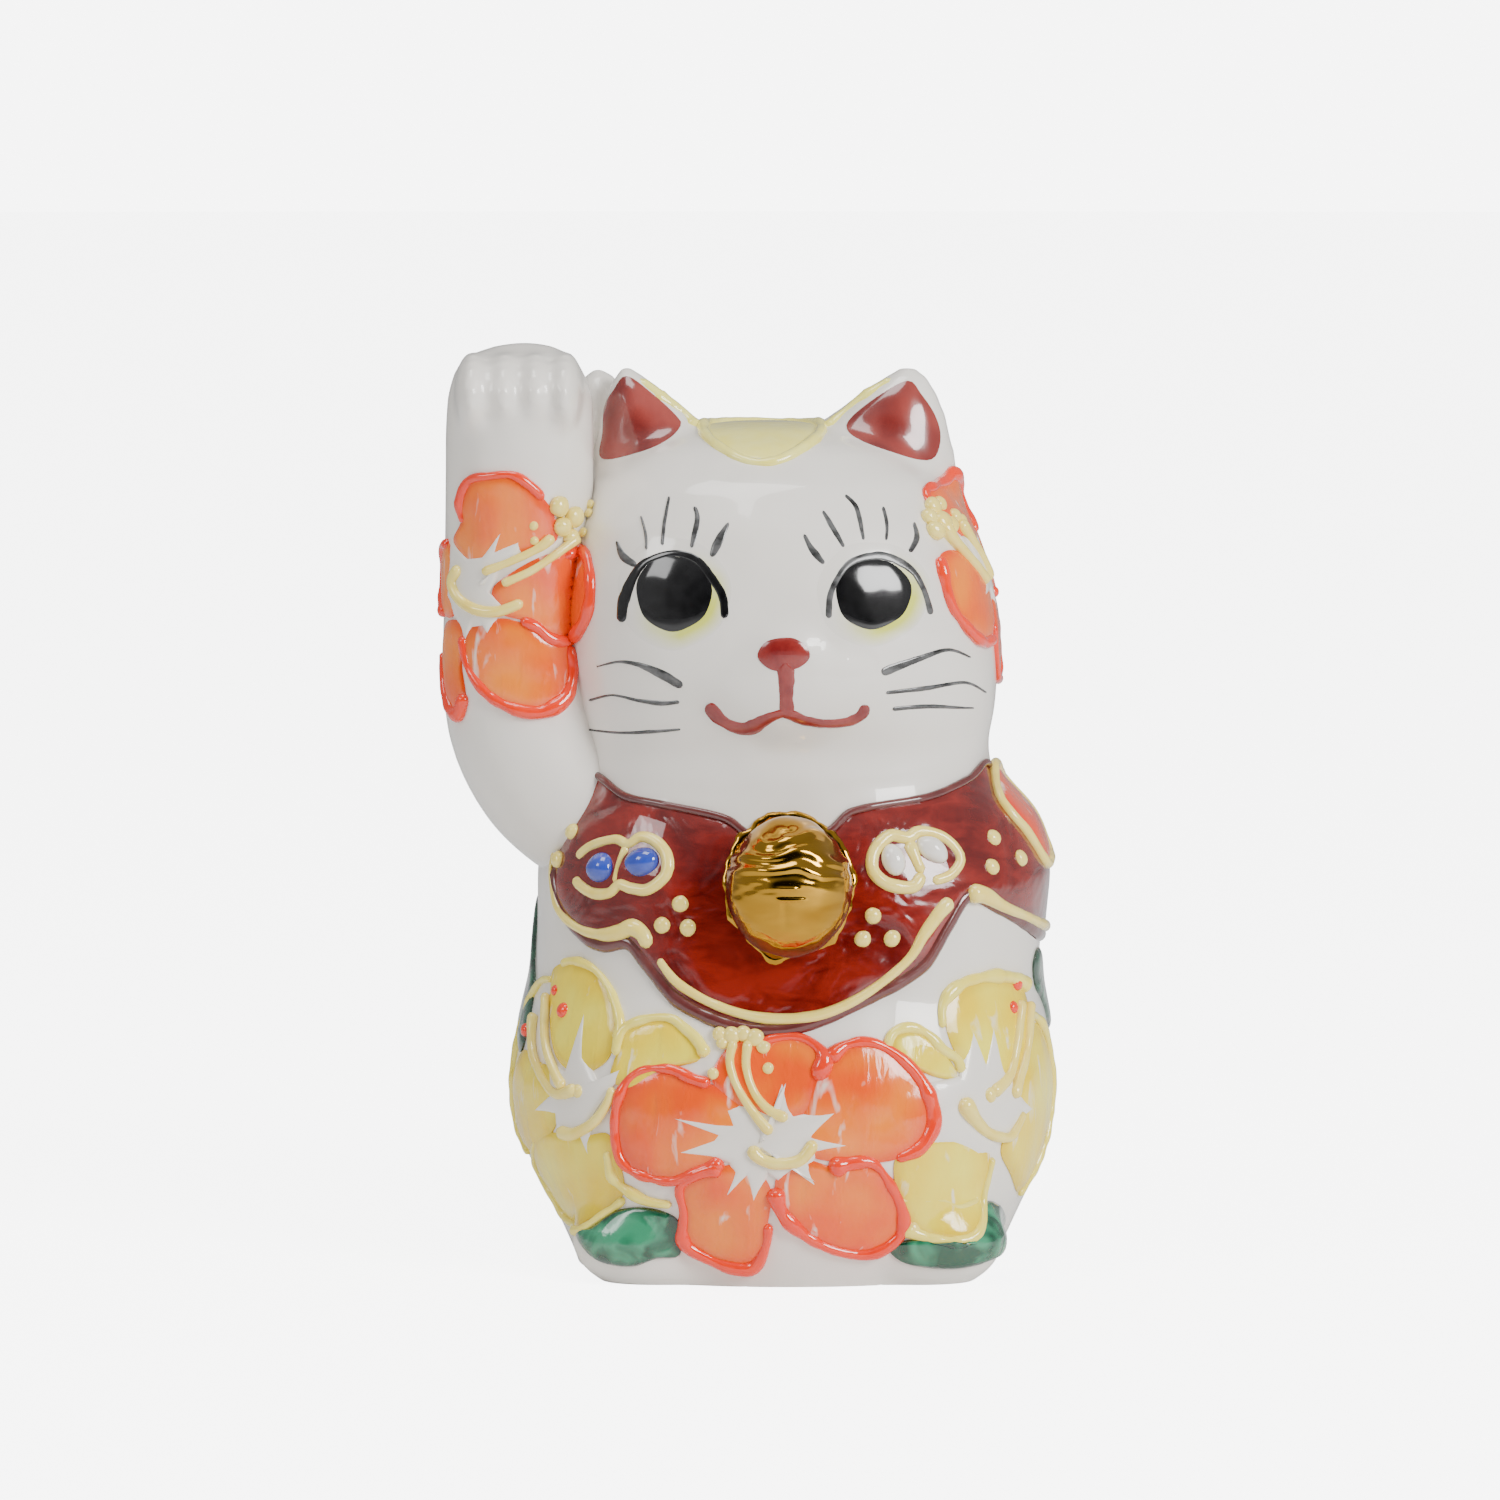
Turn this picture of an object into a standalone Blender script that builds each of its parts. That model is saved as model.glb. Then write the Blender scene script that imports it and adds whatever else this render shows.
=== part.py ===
"""Beckoning cat figurine: a hollow slip-cast porcelain body with a luted arm and tail, a raised bib
and bell, and raised enamel flowers, trails and beads. Metres, +Z up; the cat looks along -Y, and the
origin is the centre of the base."""

import math

import bmesh
import bpy
from mathutils import Matrix, Vector
from mathutils.bvhtree import BVHTree

MM = 0.001

# ---- driving dimensions -------------------------------------------------------------------------------
WALL = 3.6  # casting wall
BASE_WALL = 3.4
VENT_RADIUS = 4.5
VENT_Y = 11.0
SKIN_VOXEL = 0.9 * MM
GAP = 0.36  # clearance between neighbouring solids
ENAMEL = 0.45  # thickness of a petal or leaf
BIB = 0.9  # thickness of the bib
TRAIL = 0.5  # radius of a raised enamel line
PIPING = 0.6
PAD_STEPS = (0.15, 0.6, 1.0)  # rings of a film, from its middle out
RING_POINTS = 48
SQUARENESS = 2.35

# Torso and head, one row per level: height, half width, front, back, sideways shift (all mm).
BODY_LEVELS = [
    (-3.0, 22.0, 21.0, 22.0, 0.0),
    (1.0, 23.2, 22.6, 23.5, 0.0),
    (5.0, 25.0, 24.4, 25.5, 0.0),
    (9.0, 27.0, 25.6, 27.0, -0.1),
    (14.0, 29.0, 26.2, 28.2, -0.4),
    (20.0, 29.7, 25.8, 28.4, -0.5),
    (26.0, 28.7, 24.6, 27.4, -0.3),
    (31.0, 27.5, 23.2, 26.2, -0.1),
    (37.0, 27.5, 22.4, 25.4, 0.3),
    (43.0, 27.8, 21.6, 24.2, 0.6),
    (48.0, 26.3, 19.8, 22.4, 0.3),
    (52.5, 23.0, 18.2, 20.2, -0.6),
    (56.5, 22.6, 18.4, 19.6, -0.8),
    (60.0, 23.4, 20.2, 20.6, -0.8),
    (65.0, 23.9, 21.8, 21.6, -1.0),
    (70.0, 23.9, 22.4, 21.8, -1.2),
    (75.0, 23.2, 22.0, 21.2, -1.4),
    (80.0, 21.8, 20.4, 19.8, -1.8),
    (85.0, 19.0, 17.2, 17.2, -2.2),
    (88.6, 14.8, 12.6, 13.2, -2.5),
    (90.4, 9.6, 7.6, 8.2, -2.6),
    (91.0, 4.0, 3.0, 3.4, -2.6),
]

# Muzzle, nose and feet: centres and radii (mm).
MUZZLE = ((0.2, -14.6, 65.0), (13.5, 8.6, 8.5))
NOSE = ((0.0, -20.4, 67.8), (4.4, 3.2, 3.4))
FOOT_X = 14.4
FOOT_CENTRE = (-17.0, 4.2)
FOOT_RADII = (8.8, 6.0, 5.6)

# Ears, one row per level: height, centre x, centre y, half width, half depth (mm).
EAR_L_LEVELS = [
    (82.0, -11.6, -0.5, 9.0, 6.5),
    (87.0, -12.6, -1.2, 8.8, 5.6),
    (91.2, -14.8, -1.6, 5.6, 4.2),
    (94.2, -16.3, -1.6, 3.4, 3.0),
    (96.4, -17.2, -1.6, 1.7, 1.7),
    (97.3, -17.3, -1.6, 0.6, 0.7),
]
EAR_R_LEVELS = [
    (82.0, 8.4, -0.5, 10.6, 6.5),
    (87.0, 8.6, -1.0, 9.8, 5.6),
    (91.2, 10.6, -1.2, 6.9, 4.2),
    (94.2, 12.0, -1.2, 4.5, 3.0),
    (96.2, 12.9, -1.2, 2.4, 1.8),
    (97.2, 13.0, -1.2, 0.8, 0.7),
]

# Arm from the shoulder to the fingertips: centre, half width, half depth (mm).
ARM_LEVELS = [
    (-16.0, -1.5, 45.0, 7.0, 7.5),
    (-21.5, -2.5, 49.2, 8.6, 8.4),
    (-25.6, -3.4, 53.8, 9.3, 8.8),
    (-27.8, -4.2, 59.5, 9.1, 9.0),
    (-28.6, -4.6, 66.0, 8.5, 8.8),
    (-28.8, -5.0, 73.0, 8.1, 8.4),
    (-28.8, -5.6, 80.0, 8.0, 8.2),
    (-28.8, -6.2, 86.0, 8.0, 8.0),
    (-28.7, -7.0, 91.0, 8.0, 8.0),
    (-28.6, -8.0, 95.0, 7.6, 7.8),
    (-28.4, -8.8, 97.6, 6.0, 6.4),
    (-28.4, -9.2, 98.8, 3.0, 3.4),
]
TOE_X = (-33.6, -30.2, -26.9, -23.8)
TOE_CENTRE = (-9.4, 94.4)
TOE_RADII = (2.1, 7.1, 4.7)

WRIST_WEB = ((-20.4, 2.4, 90.4), (3.4, 3.4, 6.4))
PALM = ((-28.6, -9.6, 88.5), (6.4, 4.6, 7.5))

# Tail, guessed: centre, half width, half depth (mm).
TAIL_LEVELS = [
    (-5.0, 22.5, 8.0, 3.6, 3.6),
    (1.0, 26.0, 8.4, 4.3, 4.3),
    (7.0, 27.4, 11.0, 4.4, 4.4),
    (10.4, 26.8, 15.4, 4.1, 4.1),
    (11.6, 26.0, 19.6, 3.2, 3.2),
    (11.8, 25.4, 21.6, 1.6, 1.6),
]

# Bib edges and its piping, as azimuth round the body (degrees, 0 in front) and height (mm).
BIB_TOP = [
    (-65, 52.6), (-60, 53.0), (-47, 51.5), (-35, 50.8), (-23, 50.2), (-12, 48.6), (12, 48.6),
    (20, 50.6), (45, 51.9), (62, 53.4), (77, 54.6), (84, 50.5), (90, 46.5), (96, 43.0),
]
BIB_BOTTOM = [
    (-65, 38.6), (-59, 36.2), (-49, 35.4), (-41, 36.4), (-36, 33.4), (-28, 30.2), (-17, 28.1),
    (-7, 27.3), (4, 27.8), (18, 30.1), (35, 33.7), (42, 37.8), (48, 40.9), (58, 39.2), (77, 35.8),
    (96, 34.5),
]
PIPING_LEFT = [
    (-62.5, 50.8), (-63, 46.5), (-62.5, 41.5), (-58.5, 38.4), (-50, 37.2), (-44, 37.8), (-40, 38.5),
    (-37, 36.4),
]
PIPING_CENTRE = [
    (-33, 34.6), (-28, 32.4), (-18, 30.2), (-7, 29.1), (4, 29.1), (12, 29.9), (21, 31.8), (31, 34.8),
    (37.5, 37.8), (41, 40.4),
]
PIPING_RIGHT = [(45, 41.6), (48.5, 42.4), (56, 41.0), (75, 37.6), (93, 36.2)]
DOTS = [
    (-58.5, 48.6), (-60, 50.9), (-29, 40.7), (-33, 38.4), (-26.5, 38.2), (23, 39.7), (19.5, 37.2),
    (27, 37.2), (59, 47.2), (57.5, 44.0), (66, 44.7),
]
DOT_RADIUS = 0.85
BEADS = {
    "blue_bead_outer": (-51.5, 43.8),
    "blue_bead_inner": (-41, 44.7),
    "white_bead_inner": (29.5, 45.3),
    "white_bead_outer": (39.5, 45.7),
}
BEAD_RADIUS = 1.5
BUTTERFLY_LEFT = [
    (-57.5, 44.4), (-52.5, 46.8), (-46.5, 46.3), (-41, 47.8), (-34.5, 45.8), (-34.5, 42.6), (-40.5, 41.4),
    (-46, 42.4), (-51, 40.7), (-56.5, 41.6),
]
BUTTERFLY_RIGHT = [
    (23, 44.9), (26.5, 47.8), (34, 48.0), (41.5, 48.6), (46.5, 45.8), (43, 42.8), (35, 42.6),
    (29, 42.0), (24, 42.9),
]

# Bell: centre and radii (mm).
BELL_CENTRE = (0.1, -23.0, 42.9)
BELL_RADII = (6.4, 6.9, 7.4)

# Flowers: azimuth they face, centre across and up (mm), then petals as name, direction (degrees),
# length and width.
FRONT_FLOWER = (0, (-2.4, 16.9), [
    ("left", 176, 16.0, 12.4), ("top", 97, 9.9, 11.5), ("right", 14, 17.6, 12.4),
    ("low_right", -47, 16.5, 11.4), ("low_left", -113, 15.0, 8.6),
])
ARM_FLOWER = (-28, (-23.4, 73.6), [
    ("top", 78, 12.4, 10.0), ("right", 4, 7.6, 7.6), ("low_right", -68, 13.4, 7.4),
    ("low_left", -119, 11.5, 4.8), ("left", 165, 6.4, 7.0),
])
HEAD_FLOWER = (60, (4.0, 76.0), [
    ("top", 102, 9.4, 8.4), ("left", -166, 9.2, 8.4), ("low", -98, 9.4, 8.0), ("right", -20, 8.6, 8.0),
])
YELLOW_LEFT_FLOWER = (-47, (-0.2, 19.2), [
    ("top", 112, 14.5, 10.0), ("right", 52, 11.5, 6.6), ("low", -112, 11.2, 9.6), ("left", 178, 12.4, 10.5),
])
YELLOW_RIGHT_FLOWER = (50, (-0.5, 19.6), [
    ("top", 80, 13.4, 9.0), ("left", 134, 12.6, 5.6), ("low", -112, 11.8, 8.8), ("right", -8, 11.5, 10.5),
])
FRONT_STAMEN = [(-7.4, 25.8), (-6.4, 23.6), (-5.5, 20.8), (-3.8, 18.4), (-1.8, 16.9)]
FRONT_ARC = [(-4.4, 15.4), (-3.0, 14.2), (-1.4, 13.6), (0.8, 14.2), (2.5, 15.8)]
ARM_STAMEN = [(-25.2, 73.4), (-22.4, 75.0), (-19.6, 77.0), (-17.2, 79.6)]
HEAD_STAMEN = [(2.6, 76.6), (0.6, 78.6), (-1.4, 80.6), (-2.6, 81.6)]
SHOULDER_FLOWER = (105, (0.6, 49.0), 5.2)

# Leaves: azimuth, centre, direction, length, width.
LEAVES = {
    "leaf_foot_left": (-25, (-7.2, 5.2), 172, 11.0, 4.8),
    "leaf_foot_right": (30, (5.8, 5.6), 6, 10.0, 4.4),
    "leaf_side_left": (-94, (0.0, 33.0), 82, 11.5, 5.0),
    "leaf_side_right": (94, (0.0, 27.6), 96, 9.0, 5.0),
}

# Ear enamels, corners across and up; forehead patch, centre and radii seen from above.
EAR_ENAMEL_L = [(-17.1, 95.6), (-18.9, 91.6), (-19.7, 87.6), (-15.8, 88.6), (-11.9, 90.3), (-14.2, 93.2)]
EAR_ENAMEL_R = [(12.6, 95.3), (9.2, 93.2), (6.3, 90.8), (11.0, 88.8), (15.5, 87.6), (14.9, 91.6)]
FOREHEAD = ((-2.9, -4.4), (5.9, 9.4))

# Finishes: colour, roughness, metallic.
GLAZE_WHITE = ((0.80, 0.78, 0.76), 0.12, 0.0)
ENAMEL_RED = ((0.30, 0.030, 0.025), 0.15, 0.0)
BIB_RED = ((0.22, 0.015, 0.012), 0.12, 0.0)
CREAM = ((0.84, 0.72, 0.38), 0.25, 0.0)
ORANGE = ((0.80, 0.22, 0.06), 0.2, 0.0)
YELLOW = ((0.74, 0.66, 0.20), 0.2, 0.0)
GREEN = ((0.02, 0.19, 0.09), 0.2, 0.0)
PINK = ((0.75, 0.25, 0.18), 0.2, 0.0)
BLUE = ((0.03, 0.06, 0.42), 0.1, 0.0)
WHITE_ENAMEL = ((0.86, 0.84, 0.80), 0.15, 0.0)
GOLD = ((0.72, 0.50, 0.16), 0.2, 1.0)


def clear_scene():
    for obj in list(bpy.data.objects):
        bpy.data.objects.remove(obj)


def new_collection(name):
    collection = bpy.data.collections.new(name)
    bpy.context.scene.collection.children.link(collection)
    return collection


def link_mesh(bm, name, collection):
    """Turns a bmesh into a linked object."""
    mesh = bpy.data.meshes.new(name)
    bm.to_mesh(mesh)
    bm.free()
    obj = bpy.data.objects.new(name, mesh)
    collection.objects.link(obj)
    return obj


def smooth_rows(rows, steps):
    """Rows of numbers with Catmull-Rom rows added between them."""
    rows = [Vector(row) for row in rows]
    result = []
    for i in range(len(rows) - 1):
        a, b, c, d = rows[max(i - 1, 0)], rows[i], rows[i + 1], rows[min(i + 2, len(rows) - 1)]
        for k in range(steps):
            t = k / steps
            square = (2 * a - 5 * b + 4 * c - d) * t**2
            cube = (3 * b - a - 3 * c + d) * t**3
            result.append(0.5 * (2 * b + (c - a) * t + square + cube))
    result.append(rows[-1])
    return result


def oval(centre, half_x, front, back, squareness, across=(1, 0, 0), along=(0, 1, 0), count=RING_POINTS):
    """A closed ring of points: half_x to each side, front and back along the second direction."""
    u, v = Vector(across), Vector(along)
    ring = []
    for i in range(count):
        angle = 2 * math.pi * i / count
        c, s = math.cos(angle), math.sin(angle)
        x = math.copysign(abs(c) ** (2 / squareness), c) * half_x
        y = math.copysign(abs(s) ** (2 / squareness), s) * (back if s > 0 else front)
        ring.append(Vector(centre) + u * x + v * y)
    return ring


def loft(name, rings, collection):
    """A closed body through rings of equal length, with a flat face at each end."""
    bm = bmesh.new()
    rows = [[bm.verts.new(p * MM) for p in ring] for ring in rings]
    count = len(rings[0])
    for low, high in zip(rows, rows[1:]):
        for i in range(count):
            j = (i + 1) % count
            bm.faces.new((low[i], low[j], high[j], high[i]))
    bm.faces.new(reversed(rows[0]))
    bm.faces.new(rows[-1])
    bmesh.ops.recalc_face_normals(bm, faces=bm.faces)
    return link_mesh(bm, name, collection)


def ellipsoid(name, centre, radii, collection, segments=24):
    bm = bmesh.new()
    bmesh.ops.create_uvsphere(bm, u_segments=segments, v_segments=segments // 2, radius=1.0)
    obj = link_mesh(bm, name, collection)
    size = Matrix.Diagonal((*[r * MM for r in radii], 1))
    obj.data.transform(Matrix.Translation(Vector(centre) * MM) @ size)
    return obj


def body_rings():
    return [oval((s, 0, z), w, f, b, SQUARENESS) for z, w, f, b, s in smooth_rows(BODY_LEVELS, 3)]


def ear_rings(levels):
    """A broad ear, one ring per level."""
    rings = []
    for z, x, y, half, depth in smooth_rows(levels, 2):
        rings.append(oval((x, y, z), half, depth, depth, 2.0, count=24))
    return rings


def path_rings(levels, side, squareness, steps, count):
    """Rings square to a path of centres; side is the direction the rings' depth faces."""
    rows = smooth_rows(levels, steps)
    rings = []
    for i, row in enumerate(rows):
        along = Vector(rows[min(i + 1, len(rows) - 1)][:3]) - Vector(rows[max(i - 1, 0)][:3])
        along.normalize()
        across = Vector(side).cross(along).normalized()
        rings.append(oval(row[:3], row[3], row[4], row[4], squareness, across, along.cross(across), count))
    return rings


def melt(name, pieces, rounds, collection):
    """Joins overlapping bodies into one skin, softened where they meet, as slip does."""
    bm = bmesh.new()
    for piece in pieces:
        bm.from_mesh(piece.data)
        bpy.data.objects.remove(piece)
    obj = link_mesh(bm, name, collection)
    remesh = obj.modifiers.new("melt", "REMESH")
    remesh.mode = "VOXEL"
    remesh.voxel_size = SKIN_VOXEL
    soften = obj.modifiers.new("soften", "SMOOTH")
    soften.iterations = rounds
    soften.factor = 0.5
    return obj


def bake(obj):
    """Applies an object's modifiers."""
    mesh = bpy.data.meshes.new_from_object(obj.evaluated_get(bpy.context.evaluated_depsgraph_get()))
    obj.modifiers.clear()
    obj.data = mesh
    return obj


def swollen(source, offset, name, collection):
    """A copy of a skin moved outward by an offset in mm."""
    bm = bmesh.new()
    bm.from_mesh(source.data)
    bm.normal_update()
    for vert in bm.verts:
        vert.co += vert.normal * offset * MM
    return link_mesh(bm, name, collection)


def thin_out(obj, ratio):
    modifier = obj.modifiers.new("thin_out", "DECIMATE")
    modifier.ratio = ratio
    return obj


def cut(obj, cutter):
    """Takes the cutter away from the object."""
    modifier = obj.modifiers.new("cut_" + cutter.name, "BOOLEAN")
    modifier.operation = "DIFFERENCE"
    modifier.solver = "EXACT"
    modifier.object = cutter
    return obj


def level(offset):
    """The skin lifted by an offset in mm, ready for rays; each offset is made once."""
    if offset not in LEVELS:
        bm = bmesh.new()
        bm.from_mesh(SKIN.data)
        bm.normal_update()
        for vert in bm.verts:
            vert.co += vert.normal * offset * MM
        LEVELS[offset] = BVHTree.FromBMesh(bm)
        bm.free()
    return LEVELS[offset]


def spot(offset, azimuth, height, across=0.0):
    """The point on the lifted skin seen square on from an azimuth, at a height and a distance across (mm)."""
    a = math.radians(azimuth)
    outward = Vector((math.sin(a), -math.cos(a), 0))
    start = outward * 60 + Vector((math.cos(a), math.sin(a), 0)) * across + Vector((0, 0, height))
    hit = level(offset).ray_cast(start * MM, -outward)[0]
    return hit / MM


def crown_spot(offset, x, y):
    """The point on the lifted skin seen from straight above."""
    return level(offset).ray_cast(Vector((x, y, 120)) * MM, Vector((0, 0, -1)))[0] / MM


def finish(obj, look):
    """Gives a node its own material."""
    material = bpy.data.materials.new(obj.name + "_finish")
    material.use_nodes = True
    shader = material.node_tree.nodes["Principled BSDF"]
    colour, roughness, metallic = look
    shader.inputs["Base Color"].default_value = (*colour, 1)
    shader.inputs["Roughness"].default_value = roughness
    shader.inputs["Metallic"].default_value = metallic
    obj.data.materials.clear()
    obj.data.materials.append(material)
    return obj


def sheet(name, place, columns, rows, thickness, closed, collection):
    """A closed film between two lifted skins; place(offset, column, row) gives a point on one of them."""
    bm = bmesh.new()
    span = range(columns if closed else columns - 1)
    layers = []
    for offset in (GAP, GAP + thickness):
        grid = [[bm.verts.new(place(offset, i, j) * MM) for j in range(rows)] for i in range(columns)]
        layers.append(grid)
        for i in span:
            for j in range(rows - 1):
                k = (i + 1) % columns
                bm.faces.new((grid[i][j], grid[k][j], grid[k][j + 1], grid[i][j + 1]))
    low, high = layers
    for i in span:
        k = (i + 1) % columns
        for j in (0, rows - 1) if not closed else (rows - 1,):
            bm.faces.new((low[i][j], low[k][j], high[k][j], high[i][j]))
    if closed:
        for grid in layers:
            bm.faces.new([column[0] for column in grid])
    else:
        for i in (0, columns - 1):
            for j in range(rows - 1):
                bm.faces.new((low[i][j], low[i][j + 1], high[i][j + 1], high[i][j]))
    bmesh.ops.triangulate(bm, faces=bm.faces)
    bmesh.ops.recalc_face_normals(bm, faces=bm.faces)
    return link_mesh(bm, name, collection)


def pad(name, azimuth, centre, outline, thickness, collection):
    """A film with a round-about outline, given across and up as seen from an azimuth."""

    def place(offset, i, j):
        point = Vector(centre).lerp(Vector(outline[i]), PAD_STEPS[j])
        return spot(offset, azimuth, point.y, point.x)

    return sheet(name, place, len(outline), len(PAD_STEPS), thickness, True, collection)


def along_edge(edge, azimuth):
    """Height of an edge at an azimuth."""
    for (a, low), (b, high) in zip(edge, edge[1:]):
        if a <= azimuth <= b:
            return low + (high - low) * (azimuth - a) / (b - a)
    return edge[-1][1]


def band(name, top, bottom, columns, rows, thickness, collection):
    """A film round the body between two edges."""
    first, last = top[0][0], top[-1][0]

    def place(offset, i, j):
        azimuth = first + (last - first) * i / (columns - 1)
        low, high = along_edge(bottom, azimuth), along_edge(top, azimuth)
        return spot(offset, azimuth, low + (high - low) * j / (rows - 1))

    return sheet(name, place, columns, rows, thickness, False, collection)


def petal_outline(centre, direction, length, width, count=12):
    """A petal that widens from a narrow foot to a broad rounded end."""
    angle = math.radians(direction)
    along = Vector((math.cos(angle), math.sin(angle)))
    across = Vector((-math.sin(angle), math.cos(angle)))
    foot = 0.18 * length
    points = []
    for i in range(count):
        turn = 2 * math.pi * (i + 0.5) / count
        t = 0.5 - 0.5 * math.cos(turn)
        half = 0.5 * width * math.sin(math.pi * t**1.6) ** 0.8
        side = 1 if turn < math.pi else -1
        points.append(Vector(centre) + along * (foot + (length - foot) * t) + across * half * side)
    return points


def leaf_outline(centre, direction, length, width, count=12):
    """A leaf pointed at both ends."""
    angle = math.radians(direction)
    along = Vector((math.cos(angle), math.sin(angle)))
    across = Vector((-math.sin(angle), math.cos(angle)))
    points = []
    for i in range(count):
        turn = 2 * math.pi * i / count
        swell = abs(math.sin(turn)) ** 1.3 * (1 if math.sin(turn) > 0 else -1)
        points.append(Vector(centre) + along * 0.5 * length * math.cos(turn) + across * 0.5 * width * swell)
    return points


def middle(points):
    return sum((Vector(p) for p in points), Vector((0, 0))) / len(points)


def flower(name, data, look, collection):
    """One film per petal."""
    azimuth, centre, petals = data
    for label, direction, length, width in petals:
        outline = petal_outline(centre, direction, length, width)
        finish(pad(f"{name}_petal_{label}", azimuth, middle(outline), outline, ENAMEL, collection), look)


def trail(name, points, radius, collection, closed=False, sides=6):
    """A raised line of enamel: a tube through points on a lifted skin."""
    count = len(points)
    bm = bmesh.new()
    rings = []
    for i, point in enumerate(points):
        after = points[(i + 1) % count] if closed or i + 1 < count else point
        before = points[i - 1] if closed or i > 0 else point
        along = (after - before).normalized()
        outward = Vector((point.x, point.y, 0)).normalized()
        across = outward.cross(along).normalized()
        rise = along.cross(across)
        ring = []
        for k in range(sides):
            turn = 2 * math.pi * k / sides
            side = across * math.cos(turn) + rise * math.sin(turn)
            ring.append(bm.verts.new((point + side * radius) * MM))
        rings.append(ring)
    for i in range(count if closed else count - 1):
        low, high = rings[i], rings[(i + 1) % count]
        for k in range(sides):
            j = (k + 1) % sides
            bm.faces.new((low[k], low[j], high[j], high[k]))
    if not closed:
        bm.faces.new(rings[0])
        bm.faces.new(rings[-1])
    bmesh.ops.triangulate(bm, faces=bm.faces)
    bmesh.ops.recalc_face_normals(bm, faces=bm.faces)
    return link_mesh(bm, name, collection)


def lifted(path, offset, azimuth=None, steps=2):
    """Points of a smoothed path on a lifted skin: azimuth and height, or across and up from one azimuth."""
    points = []
    for first, height in smooth_rows(path, steps):
        if azimuth is None:
            points.append(spot(offset, first, height))
        else:
            points.append(spot(offset, azimuth, height, first))
    return points


clear_scene()
cutters = new_collection("cutters")
cat = new_collection("beckoning_cat")
LEVELS = {}

# ---- the two castings, first as whole skins -------------------------------------------------------------
torso = [
    loft("torso", body_rings(), cutters),
    loft("ear_l", ear_rings(EAR_L_LEVELS), cutters),
    loft("ear_r", ear_rings(EAR_R_LEVELS), cutters),
    ellipsoid("muzzle", *MUZZLE, cutters, 32),
    ellipsoid("nose", *NOSE, cutters),
    ellipsoid("foot_l", (-FOOT_X, *FOOT_CENTRE), FOOT_RADII, cutters, 32),
    ellipsoid("foot_r", (FOOT_X, *FOOT_CENTRE), FOOT_RADII, cutters, 32),
]
body_skin = bake(melt("body_skin", torso, 12, cutters))
limb = [loft("limb", path_rings(ARM_LEVELS, (0, 1, 0), 2.2, 3, 32), cutters)]
for x in TOE_X:
    limb.append(ellipsoid("toe", (x, *TOE_CENTRE), TOE_RADII, cutters))
limb.append(ellipsoid("wrist_web", *WRIST_WEB, cutters))
limb.append(ellipsoid("palm", *PALM, cutters))
arm_skin = bake(melt("arm_skin", limb, 12, cutters))
both = [swollen(body_skin, 0, "body_copy", cutters), swollen(arm_skin, 0, "arm_copy", cutters)]
SKIN = bake(melt("whole_skin", both, 2, cutters))

# ---- body casting: base cut flat, hollow, vented through the base --------------------------------------
body = thin_out(swollen(body_skin, 0, "body_casting", cat), 0.09)
bm = bmesh.new()
bmesh.ops.create_cube(bm, size=1.0)
below = Matrix.Translation((0, 0, -5 * MM)) @ Matrix.Diagonal((0.1, 0.1, 0.01, 1))
bmesh.ops.transform(bm, matrix=below, verts=bm.verts)
ground = link_mesh(bm, "ground", cutters)
hollow = []
for z, w, f, b, s in BODY_LEVELS:
    if 4 < z < 90:
        height = max(BASE_WALL, min(z, 86.0))
        hollow.append(oval((s, 0, height), w - WALL, f - WALL, b - WALL, SQUARENESS, count=24))
hollow[0] = [p - Vector((0, 0, hollow[0][0].z - BASE_WALL)) for p in hollow[0]]
cavity = loft("cavity", hollow, cutters)
bm = bmesh.new()
bmesh.ops.create_cone(
    bm, cap_ends=True, segments=24, radius1=VENT_RADIUS * MM, radius2=VENT_RADIUS * MM, depth=10 * MM,
    matrix=Matrix.Translation((0, VENT_Y * MM, 0)),
)
vent = link_mesh(bm, "vent", cutters)
cut(cut(cut(body, ground), cavity), vent)
finish(body, GLAZE_WHITE)

# ---- luted limbs, cut to the body's outside -------------------------------------------------------------
body_bulk = bake(thin_out(swollen(body_skin, GAP, "body_bulk", cutters), 0.12))
arm = thin_out(swollen(arm_skin, 0, "raised_arm", cat), 0.13)
finish(cut(arm, body_bulk), GLAZE_WHITE)
tail = loft("tail", path_rings(TAIL_LEVELS, (0, 0, 1), 2.0, 2, 12), cat)
finish(cut(tail, body_bulk), GLAZE_WHITE)

# ---- bib, its bell and its trimmings ----------------------------------------------------------------------
finish(band("bib", BIB_TOP, BIB_BOTTOM, 32, 7, BIB, cat), BIB_RED)
bib_bulk = bake(thin_out(swollen(SKIN, 2 * GAP + BIB, "bib_bulk", cutters), 0.12))
bell = ellipsoid("bell", BELL_CENTRE, BELL_RADII, cat)
finish(cut(bell, bib_bulk), GOLD)
on_bib = 2 * GAP + BIB
finish(trail("piping_left", lifted(PIPING_LEFT, on_bib + PIPING), PIPING, cat), CREAM)
finish(trail("piping_centre", lifted(PIPING_CENTRE, on_bib + PIPING), PIPING, cat), CREAM)
finish(trail("piping_right", lifted(PIPING_RIGHT, on_bib + PIPING, steps=3), PIPING, cat), CREAM)
for label, path in (("left", BUTTERFLY_LEFT), ("right", BUTTERFLY_RIGHT)):
    loop = lifted(path + path[:1], on_bib + TRAIL)[:-1]
    finish(trail("butterfly_" + label, loop, TRAIL, cat, True), CREAM)
for i, (azimuth, height) in enumerate(DOTS):
    centre = spot(on_bib + DOT_RADIUS, azimuth, height)
    finish(ellipsoid(f"bib_dot_{i + 1:02d}", centre, [DOT_RADIUS] * 3, cat, 8), CREAM)
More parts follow.
